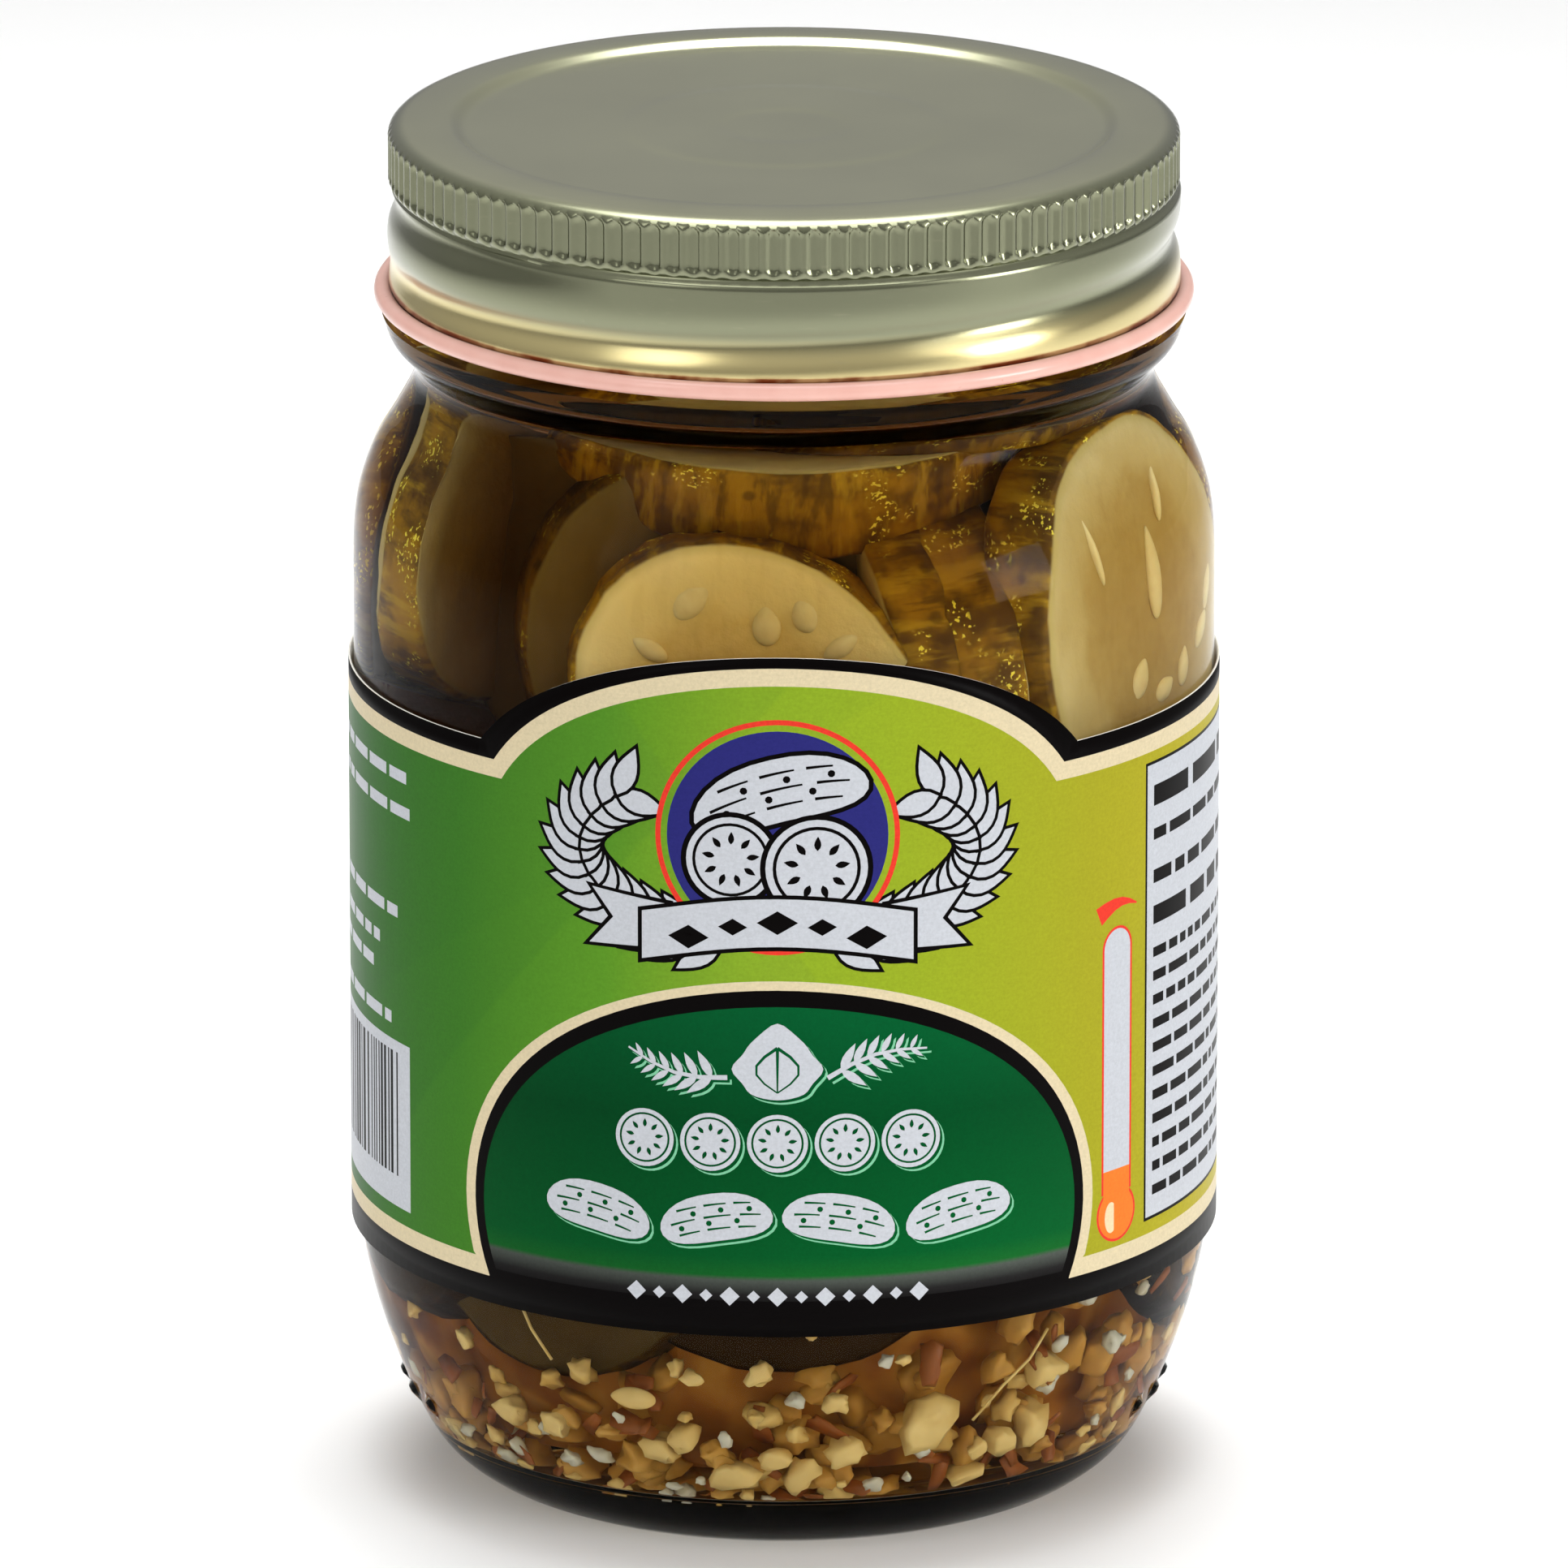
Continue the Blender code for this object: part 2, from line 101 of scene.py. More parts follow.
def lathe(bm, outline, angles, shift=None):  # outline: from the axis over the top, and back to it below
    rings = []
    for radius, height in outline:
        if radius < 0.00001:
            rings.append([bm.verts.new((0, 0, height))])
            continue
        rings.append([
            bm.verts.new(atAngle(angle, radius + (shift(angle, radius, height) if shift else 0), height))
            for angle in angles
        ])
    count = len(angles)
    for upper, lower in zip(rings, rings[1:]):
        for index in range(count):
            after = (index + 1) % count
            corners = [upper[index % len(upper)], lower[index % len(lower)],
                       lower[after % len(lower)], upper[after % len(upper)]]
            if len(upper) == 1:
                corners.pop(3)
            elif len(lower) == 1:
                corners.pop(2)
            bm.faces.new(corners)


def roundAngles(count):
    return [360 * index / count - 180 for index in range(count)]


def makePiece(name, bm, materials, sharp=35):
    mesh = bpy.data.meshes.new(name)
    bm.to_mesh(mesh)
    bm.free()
    for material in materials:
        mesh.materials.append(material)
    mesh.shade_smooth()
    mesh.set_sharp_from_angle(angle=radians(sharp))
    piece = bpy.data.objects.new(name, mesh)
    scene.collection.objects.link(piece)
    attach(piece, "root")
    return piece


# Node helpers: put makes a node, and a value that is a socket is linked

def newMaterial(name):
    material = bpy.data.materials.new(name)
    material.use_nodes = True
    material.node_tree.nodes.clear()
    return material, material.node_tree


def put(tree, kind, values=None, **settings):
    made = tree.nodes.new("ShaderNode" + kind)
    for name, value in settings.items():
        setattr(made, name, value)
    for key, value in (values or {}).items():
        if isinstance(value, bpy.types.NodeSocket):
            tree.links.new(value, made.inputs[key])
        else:
            made.inputs[key].default_value = value
    return made


def calc(tree, operation, *values):
    return put(tree, "Math", dict(enumerate(values)), operation=operation).outputs[0]


def splitUp(tree, vector):
    return put(tree, "SeparateXYZ", {0: vector}).outputs


def stepUp(tree, low, high, value):  # 0 at low and 1 at high, which may be the smaller one
    return put(tree, "MapRange", {0: value, 1: low, 2: high}, interpolation_type="SMOOTHSTEP").outputs[0]


def blend(tree, factor, first, second, mode="MIX"):
    made = put(tree, "Mix", {0: factor, 6: first, 7: second}, data_type="RGBA", blend_type=mode)
    return made.outputs[2]


def tinted(tree, colour, tint):
    return blend(tree, 1.0, colour, tint, "MULTIPLY")


def glaze(tree, mask, strength, under, over):  # lays one colour over another where the mask is
    return blend(tree, calc(tree, "MULTIPLY", mask, strength), under, over)


def ramp(tree, value, stops):
    made = put(tree, "ValToRGB", {0: value})
    elements = made.color_ramp.elements
    while len(elements) < len(stops):
        elements.new(0.5)
    for element, (place, colour) in zip(elements, stops):
        element.position = place
        element.color = colour
    return made.outputs[0]


def grain(tree, vector, scale, detail=2, roughness=0.5):
    values = {"Vector": vector, "Scale": scale, "Detail": detail, "Roughness": roughness}
    return put(tree, "TexNoise", values).outputs[0]


def stretchedGrain(tree, vector, scales, detail=3, roughness=0.5):
    return grain(tree, put(tree, "Mapping", {0: vector, 3: scales}).outputs[0], 1.0, detail, roughness)


def bump(tree, height, distance, strength=1.0):
    return put(tree, "Bump", {"Height": height, "Distance": distance, "Strength": strength}).outputs[0]


def finishMaterial(tree, surface, volume=None):
    out = put(tree, "OutputMaterial", {"Surface": surface})
    if volume:
        tree.links.new(volume, out.inputs["Volume"])


def letLightThrough(tree, surface, tint):  # soft light goes straight through, so that the contents are lit
    clear = put(tree, "BsdfTransparent", {"Color": tint}).outputs[0]
    path = put(tree, "LightPath").outputs
    soft = calc(tree, "MAXIMUM", path["Is Shadow Ray"], path["Is Diffuse Ray"])
    return put(tree, "MixShader", {0: soft, 1: surface, 2: clear}).outputs[0]


# Camera, floor and light

shot = {
    "pitch": 16.45,  # degrees that the camera looks down
    "distance": 1.9,
    "aim": 65.5 * mm,
    "lens": 463.8,
    "floor": 6.0,
    "floorColour": (0.93, 0.93, 0.93, 1.0),
    "sky": [(0.0, (0.26, 0.26, 0.26, 1)), (0.35, (0.40, 0.40, 0.39, 1)), (1.0, (0.62, 0.62, 0.62, 1))],
    "lamps": {  # place, aim, width and height, spread in degrees, watts
        "leftBox": ((-0.95, -1.15, 1.0), (0, 0, 0.08), (0.8, 1.0), 46, 0.31),
        "rightBox": ((1.15, -0.85, 0.85), (0, 0, 0.08), (0.7, 1.0), 46, 0.18),
        "topBox": ((0.0, 0.1, 1.5), (0, 0.1, 0), (1.1, 0.8), 120, 4.5),
        "lowBox": ((1.1, -0.5, 0.3), (0, 0, 0.08), (0.4, 0.5), 46, 0.42),
        "floorWash": ((0.0, 0.35, 0.9), (0, 0.17, 0), (0.6, 0.4), 64, 0.9),
        "underLid": ((-0.2, -1.5, 0.26), (0, 0, 0.10), (0.9, 0.3), 46, 0.29),
        "floorFront": ((0.0, -0.5, 0.9), (0, -0.16, 0), (0.6, 0.25), 50, 0.15),
    },
    "unseenLamps": ("underLid", "floorFront"),  # these don't show as reflections
}


def buildCamera():
    tilt = radians(shot["pitch"])
    lens = bpy.data.cameras.new("camera")
    lens.lens = shot["lens"]
    lens.sensor_width = 36
    lens.clip_end = 30
    camera = bpy.data.objects.new("camera", lens)
    camera.location = (0, -shot["distance"] * cos(tilt), shot["aim"] + shot["distance"] * sin(tilt))
    camera.rotation_euler = (radians(90) - tilt, 0, 0)
    scene.collection.objects.link(camera)
    scene.camera = camera


def buildFloor():
    bm = bmesh.new()
    bmesh.ops.create_grid(bm, x_segments=1, y_segments=1, size=shot["floor"] / 2)
    mesh = bpy.data.meshes.new("floor")
    bm.to_mesh(mesh)
    bm.free()
    floor = bpy.data.objects.new("floor", mesh)
    scene.collection.objects.link(floor)
    material, tree = newMaterial("floor")
    surface = put(tree, "BsdfPrincipled", {"Base Color": shot["floorColour"], "Roughness": 0.7})
    finishMaterial(tree, surface.outputs[0])
    mesh.materials.append(material)


def buildLamps():
    for name, (place, aim, size, spread, watts) in shot["lamps"].items():
        data = bpy.data.lights.new(name, "AREA")
        data.shape = "RECTANGLE"
        data.size, data.size_y = size
        data.spread = radians(spread)
        data.energy = watts
        lamp = bpy.data.objects.new(name, data)
        lamp.location = place
        lamp.visible_glossy = name not in shot["unseenLamps"]
        lamp.rotation_euler = (Vector(aim) - Vector(place)).to_track_quat("-Z", "Y").to_euler()
        scene.collection.objects.link(lamp)


def buildSky():
    world = bpy.data.worlds.new("studio")
    world.use_nodes = True
    tree = world.node_tree
    tree.nodes.clear()
    direction = put(tree, "TexCoord").outputs["Generated"]
    height = splitUp(tree, direction)[2]
    sky = put(tree, "Background", {"Color": ramp(tree, height, shot["sky"]), "Strength": 1.0})
    put(tree, "OutputWorld", {0: sky.outputs[0]})
    scene.world = world


def setLook():
    scene.view_settings.view_transform = "Standard"
    scene.cycles.max_bounces = 16
    scene.cycles.transmission_bounces = 14
    scene.cycles.transparent_max_bounces = 24
    scene.cycles.caustics_reflective = False
    scene.cycles.caustics_refractive = False


# Glass jar and brine

jar = {
    "floorMiddle": 7.2 * mm,
    "pushUp": 2.4 * mm,
    "mouth": 31.6 * mm,
    "finish": 34.6 * mm,
    "finishTop": 128.5 * mm,
    "beadTop": 112.7 * mm,
    "beadReach": 37.1 * mm,
    "rim": 0.6 * mm,
    "outside": [(28.4, 0.0), (30.3, 0.9), (32.7, 2.9), (34.7, 6.1), (37.0, 11.5), (38.9, 17.5), (40.1, 24.0),
                (40.4, 34.0), (40.4, 88.0), (40.0, 94.0), (38.5, 98.5), (36.3, 102.2), (34.57, 105.7),
                (34.9, 107.7), (36.85, 110.0), (37.6, 112.2)],  # radius and height, mm
    "inside": [(29.0, 4.9), (32.1, 7.0), (34.4, 11.8), (36.3, 17.9), (37.5, 24.4), (37.8, 34.0), (37.8, 88.0),
               (37.4, 93.3), (36.0, 97.2), (33.9, 100.6), (32.2, 104.6), (31.6, 110.0)],
    "underside": [(27.6, 0.0), (26.4, 0.0), (25.6, 0.25), (24.6, 1.0), (22.0, 1.6), (12.0, 2.2), (0.0, 2.4)],
    "floorDips": ((11 * mm, 0.3 * mm), (22 * mm, 1.1 * mm)),  # distance out, and drop from the floor's middle
    "dots": {"height": 8.4 * mm, "angles": (68, 76.5, 86), "width": 0.85 * mm, "rise": 0.55 * mm},
    "seam": {"angle": 97, "half": 0.7, "rise": 0.07 * mm},  # one on each side, in degrees
    "brineTop": 119 * mm,
    "brineReach": 0.15 * mm,  # into the wall, so that no air shows between them
    "brineFade": {"colour": (0.72, 0.53, 0.08, 1.0), "density": 108.0},
    "glossFalloff": 1.7,  # how far the front's reflection is held back
}
outerWall = inMetres(jar["outside"])
innerWall = inMetres(jar["inside"])


def makeGlass():
    material, tree = newMaterial("clearGlass")
    inner = put(tree, "BsdfRefraction", {"Color": (0.975, 0.99, 0.985, 1), "Roughness": 0.0, "IOR": 1.5})
    gloss = put(tree, "BsdfGlossy", {"Color": (1, 1, 1, 1), "Roughness": 0.0})
    mirror = calc(tree, "POWER", put(tree, "Fresnel", {"IOR": 1.5}).outputs[0], jar["glossFalloff"])
    body = put(tree, "MixShader", {0: mirror, 1: inner.outputs[0], 2: gloss.outputs[0]})
    finishMaterial(tree, letLightThrough(tree, body.outputs[0], (0.95, 0.97, 0.96, 1)))
    return material


def makeWetGlass():  # the side against the brine, which mirrors nothing
    material, tree = newMaterial("wetGlass")
    body = put(tree, "BsdfRefraction", {"Color": (0.985, 0.995, 0.99, 1), "Roughness": 0.0, "IOR": 1.5})
    finishMaterial(tree, letLightThrough(tree, body.outputs[0], (0.97, 0.98, 0.98, 1)))
    return material


def makeBrine():
    material, tree = newMaterial("brine")
    body = put(tree, "BsdfRefraction", {"Color": (1, 1, 1, 1), "Roughness": 0.0, "IOR": 1.35})
    fade = jar["brineFade"]
    dim = put(tree, "VolumeAbsorption", {"Color": fade["colour"], "Density": fade["density"]})
    finishMaterial(tree, letLightThrough(tree, body.outputs[0], (1, 1, 1, 1)), dim.outputs[0])
    return material


def glassShift(angle, radius, height):  # small dots on both sides of the heel, and the mould's two seams
    if radius < readRadius(outerWall, height) - 0.6 * mm or height > jar["beadTop"] - 0.4 * mm:
        return 0  # neither is on the inside or above the bead
    seam, dots = jar["seam"], jar["dots"]
    rise = seam["rise"] * exp(-((abs(angle) - seam["angle"]) / seam["half"]) ** 2)
    for spot in dots["angles"]:
        across = radians(abs(angle) - spot) * radius
        away = hypot(across, height - dots["height"]) / dots["width"]
        if away < 1:
            rise += dots["rise"] * sqrt(1 - away * away)
    return rise


def buildGlass():
    rim = jar["rim"]
    outline = [(0, jar["floorMiddle"])] + [(out, jar["floorMiddle"] - drop) for out, drop in jar["floorDips"]]
    outline += smoothRun(innerWall, 0.8 * mm)
    for step in range(7):
        turn = pi * step / 12
        outline.append((jar["mouth"] + rim * (1 - cos(turn)), jar["finishTop"] - rim * (1 - sin(turn))))
    for step in range(7):
        turn = pi * step / 12
        outline.append((jar["finish"] - rim * (1 - sin(turn)), jar["finishTop"] - rim * (1 - cos(turn))))
    outline.append((jar["finish"], jar["beadTop"] + 0.3 * mm))
    outline.append((jar["finish"] + 0.3 * mm, jar["beadTop"]))
    outline.append((jar["beadReach"], jar["beadTop"]))
    widest = max(radius for radius, _ in outerWall)
    outline += [(min(radius, widest), height) for radius, height in reversed(smoothRun(outerWall, 0.5 * mm))]
    outline += inMetres(jar["underside"])
    angles = set(roundAngles(180))
    crowded = [(spot, 8, 0.25) for spot in jar["dots"]["angles"]] + [(jar["seam"]["angle"], 4, 0.35)]
    for spot, most, step in crowded:  # more columns at the dots and the seams
        for index in range(-most, most + 1):
            angles |= {spot + index * step, -spot - index * step}
    bm = bmesh.new()
    lathe(bm, outline, sorted(angles), glassShift)
    for face in bm.faces:  # the inner side is wet glass
        spot = face.calc_center_median()
        inside = hypot(spot.x, spot.y) < readRadius(innerWall, spot.z) + 0.8 * mm
        face.material_index = int(inside and spot.z > jar["pushUp"] + mm and face.normal.z > -0.95)
    piece = makePiece("glassShell", bm, [makeGlass(), makeWetGlass()], sharp=50)
    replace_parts(piece, "glass_jar")


def buildBrine():
    reach = jar["brineReach"]
    wall = [(radius + reach, height) for radius, height in smoothRun(innerWall, 1.5 * mm)]
    wall[0] = (wall[0][0], wall[0][1] - reach)
    middle = jar["floorMiddle"] - reach
    top = jar["brineTop"]
    outline = [(0, top), (28 * mm, top), (jar["mouth"] + reach, top)] + wall[::-1]
    outline += [(out, middle - drop) for out, drop in reversed(jar["floorDips"])] + [(0, middle)]
    bm = bmesh.new()
    lathe(bm, outline, roundAngles(144))
    makePiece("brine", bm, [makeBrine()], sharp=50)


# Lid

lid = {
    "top": 130.1 * mm,
    "recess": 0.7 * mm,
    "panelRadius": 29.6 * mm,
    "slope": 1.8 * mm,
    "rings": ((14.9 * mm, 0.10 * mm), (6.0 * mm, -0.08 * mm)),  # faint pressed steps in the panel
    "ribs": 124,
    "ribRadius": 36.92 * mm,
    "ribDepth": 0.42 * mm,
    "ribLow": 124.75 * mm,
    "ribHigh": 129.05 * mm,
    "flatHalf": 0.60 * mm,  # half the width of the pressed flat between two ribs
    "skirt": 37.03 * mm,
    "skirtTop": 123.6 * mm,
    "skirtBottom": 115.2 * mm,
    "bore": 35.6 * mm,
    "ceiling": 128.85 * mm,
    "curl": (37.46 * mm, 113.95 * mm, 0.84 * mm),  # distance out, height and radius of the hem's roll
    "panelRows": (3, 4.6, 5.2, 5.8, 6.4, 7.0, 9, 12, 13.8, 14.4, 15.0, 15.6, 16.2, 19, 23, 27, 29),  # mm out
    "shoulder": {"start": 34.8 * mm, "drop": 0.16 * mm, "across": 2.12 * mm, "down": 1.1 * mm},
    "waist": [(36.72, 124.45), (36.5, 124.2), (36.62, 123.95), (36.9, 123.75)],  # the step under the ribs
    "foot": [(36.98, 114.8), (36.7, 114.3), (36.2, 114.2)],
    "groove": {"depth": 0.85 * mm, "half": 1.5 * mm, "lead": 6.2 * mm, "left": 116.5 * mm,
               "first": -100, "last": 335, "fade": 30},
    "columnsPerRib": 8,
}


def grooveDepth(angle, height):
    groove = lid["groove"]
    depth = 0
    for turns in (-1, 0, 1):
        along = angle + 360 * turns
        if groove["first"] < along < groove["last"]:
            strength = min(1, min(along - groove["first"], groove["last"] - along) / groove["fade"])
            away = (height - groove["left"] - groove["lead"] * (along + 90) / 360) / groove["half"]
            depth = max(depth, groove["depth"] * strength * exp(-away * away))
    return depth


def lidShift(angle, radius, height):
    if radius < 36 * mm:
        return 0
    if height < lid["skirtTop"] + 0.3 * mm:
        return -grooveDepth(angle, height)
    pitch = 2 * pi * lid["ribRadius"] / lid["ribs"]
    across = abs((angle / 360 * lid["ribs"]) % 1 - 0.5) * pitch
    half = lid["flatHalf"]
    beyond = max(0, height - (lid["ribHigh"] - half), lid["ribLow"] + half - height)
    pressed = 1 - ease(half - 0.2 * mm, half + 0.15 * mm, hypot(across, beyond))
    return -lid["ribDepth"] * pressed


def panelHeight(radius):
    height = lid["top"] - lid["recess"]
    for ring, rise in lid["rings"]:
        height += rise * (1 - ease(ring - 0.9 * mm, ring + 0.9 * mm, radius))
    return height


def makeLacqueredTin():
    material, tree = newMaterial("lacqueredTin")
    place = put(tree, "TexCoord").outputs["Object"]
    parts = splitUp(tree, place)
    brushed = stretchedGrain(tree, place, (90, 2600, 2600))
    cloudy = grain(tree, place, 60, 3)
    gold = blend(tree, cloudy, (0.44, 0.445, 0.285, 1), (0.51, 0.51, 0.335, 1))
    out = calc(tree, "POWER", calc(tree, "ADD", calc(tree, "MULTIPLY", parts[0], parts[0]),
                                   calc(tree, "MULTIPLY", parts[1], parts[1])), 0.5)
    # out past 36 mm, on the ribs and the skirt, the gold turns darker olive: painted shade for the upright
    # sides
    gold = blend(tree, stepUp(tree, 35.2 * mm, 36.4 * mm, out), gold, (0.24, 0.25, 0.155, 1))
    # low on the skirt the gold turns bright: a painted reflection of a light panel
    warm = stepUp(tree, 119.0 * mm, 116.2 * mm, parts[2])
    gold = glaze(tree, warm, 0.9, gold, (0.92, 0.77, 0.36, 1))
    scratch = stepUp(tree, 0.62, 0.8, brushed)
    gold = glaze(tree, scratch, 0.12, gold, (0.62, 0.58, 0.40, 1))
    hem = calc(tree, "MULTIPLY", stepUp(tree, 115.35 * mm, 114.9 * mm, parts[2]),
               stepUp(tree, 0.42, 0.6, grain(tree, place, 210, 3)))
    colour = blend(tree, hem, gold, rgb(150, 82, 30))
    rough = calc(tree, "MULTIPLY_ADD", cloudy, 0.08, 0.20)
    surface = put(tree, "BsdfPrincipled", {
        "Base Color": colour, "Metallic": 1.0, "Roughness": rough, "Coat Weight": 0.45,
        "Coat Roughness": 0.14, "Coat IOR": 1.5, "Normal": bump(tree, brushed, 0.004 * mm, 0.5),
    })
    finishMaterial(tree, surface.outputs[0])
    return material


def makeHemEnamel():
    material, tree = newMaterial("hemEnamel")
    place = put(tree, "TexCoord").outputs["Object"]
    cloudy = grain(tree, place, 300, 3)
    colour = blend(tree, cloudy, rgb(226, 166, 152), rgb(240, 192, 178))
    chipped = stepUp(tree, 0.70, 0.76, grain(tree, place, 420, 4))
    colour = blend(tree, chipped, colour, rgb(196, 120, 92))
    surface = put(tree, "BsdfPrincipled", {
        "Base Color": colour, "Roughness": 0.32, "Coat Weight": 0.4, "Coat Roughness": 0.1,
        "Normal": bump(tree, cloudy, 0.02 * mm, 0.4),
    })
    finishMaterial(tree, surface.outputs[0])
    return material


def buildLid():
    top = lid["top"]
    edge = lid["panelRadius"]
    outline = [(0, panelHeight(0))]
    for radius in lid["panelRows"]:
        outline.append((radius * mm, panelHeight(radius * mm)))
    for step in range(7):
        share = step / 6
        outline.append((edge + lid["slope"] * share, top - lid["recess"] * (1 - ease(0, 1, share))))
    bend = lid["shoulder"]
    outline += [(32.6 * mm, top), (33.8 * mm, top - 0.05 * mm), (bend["start"], top - bend["drop"])]
    for step in range(1, 6):
        turn = pi / 2 * step / 5
        level = top - bend["drop"] - bend["down"] * (1 - cos(turn))
        outline.append((bend["start"] + bend["across"] * sin(turn), level))
    height = lid["ribHigh"] - 0.3 * mm
    while height > lid["ribLow"] - 0.1 * mm:
        outline.append((lid["ribRadius"], height))
        height -= 0.26 * mm
    outline += inMetres(lid["waist"])
    rows = 22
    for row in range(rows + 1):
        share = row / rows
        outline.append((lid["skirt"], lid["skirtTop"] + (lid["skirtBottom"] - lid["skirtTop"]) * share))
    outline += inMetres(lid["foot"])
    outline += [(lid["bore"], 114.6 * mm), (lid["bore"], lid["ceiling"]), (0, lid["ceiling"])]
    bm = bmesh.new()
    lathe(bm, outline, roundAngles(lid["ribs"] * lid["columnsPerRib"]), lidShift)
    shell = makePiece("lidShell", bm, [makeLacqueredTin()], sharp=60)
    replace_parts(shell, "lid")

    centre, level, thick = lid["curl"]
    bm = bmesh.new()
    bmesh.ops.create_circle(bm, segments=16, radius=thick)
    bmesh.ops.rotate(bm, verts=bm.verts, matrix=Matrix.Rotation(pi / 2, 3, "X"))
    bmesh.ops.translate(bm, verts=bm.verts, vec=(centre, 0, level))
    ring = list(bm.verts) + list(bm.edges)
    bmesh.ops.spin(bm, geom=ring, axis=(0, 0, 1), angle=2 * pi, steps=240, use_merge=True)
    bmesh.ops.remove_doubles(bm, verts=bm.verts, dist=0.001 * mm)
    bmesh.ops.recalc_face_normals(bm, faces=bm.faces)
    curl = makePiece("lidCurl", bm, [makeHemEnamel()], sharp=60)
    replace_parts(curl, "lid")


# Label: the print is worked out flat, in mm along the label and mm up, and wrapped round the glass

label = {
    "mmPerDegree": 0.706,
    "middle": -0.6,
    "outerRadius": 40.9 * mm,
    "paper": 0.2 * mm,
    "halfLength": 117.9,
    "bottom": 24.1,
    "columnStep": 1.4,
    "seed": 4,
    "arches": (  # ink, past the sheet's end, low edge, sides' top, and the arch's half width, height and top
        ("black", 0, 24.1, 78.7, 33.0, 18.8, 89.6),
        ("cream", 1, 26.7, 77.0, 31.0, 19.5, 88.6),
        ("field", 1, 28.4, 75.3, 29.6, 18.6, 86.9),
    ),
    "panelFoot": 29.1,  # half width of the dark panel where it meets the lower band
    "ribbonTail": ((10, 65.6), (17.5, 66.6), (15.4, 63.9), (17.8, 61.2), (10, 61.4)),
    # Rows of dashes: level and half width on the left, level, height and share of the width on the right
    "leftLines": ((71.6, 15.4), (68.2, 16.0), (58.2, 13.6), (54.8, 9.6), (52.0, 8.4), (47.6, 12.2)),
    "leftMiddle": -57.2,
    "gauge": 34.8,  # place along the label
    "rightLines": ((69.9, 2.0, 0.6), (66.6, 1.1, 1.0), (62.4, 1.3, 0.8), (58.4, 1.8, 0.7)),
    "rightStart": 40.4,
    "fieldInk": [
        (0.05, rgb(42, 94, 32)), (0.22, rgb(56, 112, 34)), (0.36, rgb(82, 136, 38)),
        (0.47, rgb(118, 152, 40)), (0.60, rgb(130, 151, 39)), (0.76, rgb(143, 145, 38)),
        (0.92, rgb(157, 150, 30)),
    ],
    "rays": (  # lean, place along and tint beyond it
        (0.88, -76.0, (1.12, 1.08, 1.0, 1)),
        (-0.7, 44.0, (1.06, 1.05, 0.9, 1)),
        (1.6, -128.0, (1.05, 1.03, 1.0, 1)),
    ),
    "panelInk": [
        (0.0, rgb(10, 8, 8)), (0.04, rgb(34, 33, 33)), (0.085, rgb(78, 84, 78)), (0.10, rgb(20, 98, 38)),
        (0.16, rgb(2, 88, 38)), (0.6, rgb(0, 72, 32)), (1.0, rgb(2, 92, 46)),
    ],
    "inks": {
        "black": rgb(7, 5, 5),
        "cream": rgb(212, 197, 162),
        "field": None,  # painted, as is the panel
        "panel": None,
        "white": rgb(190, 193, 199),
        "edge": rgb(120, 190, 150),
        "navy": rgb(42, 42, 112),
        "red": rgb(222, 58, 44),
        "orange": rgb(236, 120, 44),
        "pale": rgb(250, 205, 165),
    },
}
printed = []  # (ink, outline), in the order of printing


def ink(colour, outline):
    printed.append((colour, outline))


def ellipse(centre, across, up, first=0, last=360, count=48):
    steps = count if last - first >= 360 else count + 1
    turns = [radians(first + (last - first) * step / count) for step in range(steps)]
    return [(centre[0] + across * cos(turn), centre[1] + up * sin(turn)) for turn in turns]


def bar(left, right, low, high):
    return [(left, low), (right, low), (right, high), (left, high)]


def grown(outline, by):  # moves each side of an anticlockwise outline out
    points = [Vector(point) for point in outline]
    result = []
    for index, point in enumerate(points):
        into = (point - points[index - 1]).normalized()
        out = (points[(index + 1) % len(points)] - point).normalized()
        side = Vector((into.y + out.y, -into.x - out.x))
        if side.length > 0.001:
            side.normalize()
            point = point + side * by / max(0.5, side.dot(Vector((into.y, -into.x))))
        result.append(tuple(point))
    return result


def moved(outline, centre, turn=0):
    ahead, aside = cos(radians(turn)), sin(radians(turn))
    return [(centre[0] + (x * ahead - y * aside), centre[1] + (x * aside + y * ahead)) for x, y in outline]


def stroke(points, width, endWidth=None):  # a line with a width, as one outline
    endWidth = width if endWidth is None else endWidth
    path = [Vector(point) for point in points]
    left, right = [], []
    for index, point in enumerate(path):
        along = (path[min(index + 1, len(path) - 1)] - path[max(index - 1, 0)]).normalized()
        half = (width + (endWidth - width) * index / (len(path) - 1)) / 2
        side = Vector((-along.y, along.x)) * half
        left.append(tuple(point + side))
        right.append(tuple(point - side))
    return right + left[::-1]


def leaf(length, width, count=7):
    upper = [(length * step / count, width / 2 * sin(pi * (step / count) ** 0.8)) for step in range(1, count)]
    return [(0, 0)] + [(x, -y) for x, y in upper] + [(length, 0)] + upper[::-1]


def gherkin(length, width, bow=0.12, count=14):
    def side(sign):
        points = []
        for step in range(count + 1):
            share = 0.5 - 0.5 * cos(pi * step / count)
            half = width / 2 * max(0.0, 1 - abs(2 * share - 1) ** 2.8) ** 0.5
            arch = bow * length * (4 * share * (1 - share) - 0.5)
            points.append((length * (share - 0.5), sign * half + arch))
        return points
    return side(-1) + side(1)[-2:0:-1]


def inkSlice(centre, radius, light, dark):  # a round pickle slice
    ink(light, ellipse(centre, radius, radius, count=36))
    ink(dark, ellipse(centre, radius * 0.86, radius * 0.86, count=36))
    ink(light, ellipse(centre, radius * 0.79, radius * 0.79, count=36))
    for index in range(9):
        turn = 40 * index + 8
        spot = moved([(radius * 0.36, 0)], centre, turn)[0]
        ink(dark, moved(leaf(radius * 0.3, radius * 0.14, 5), spot, turn))


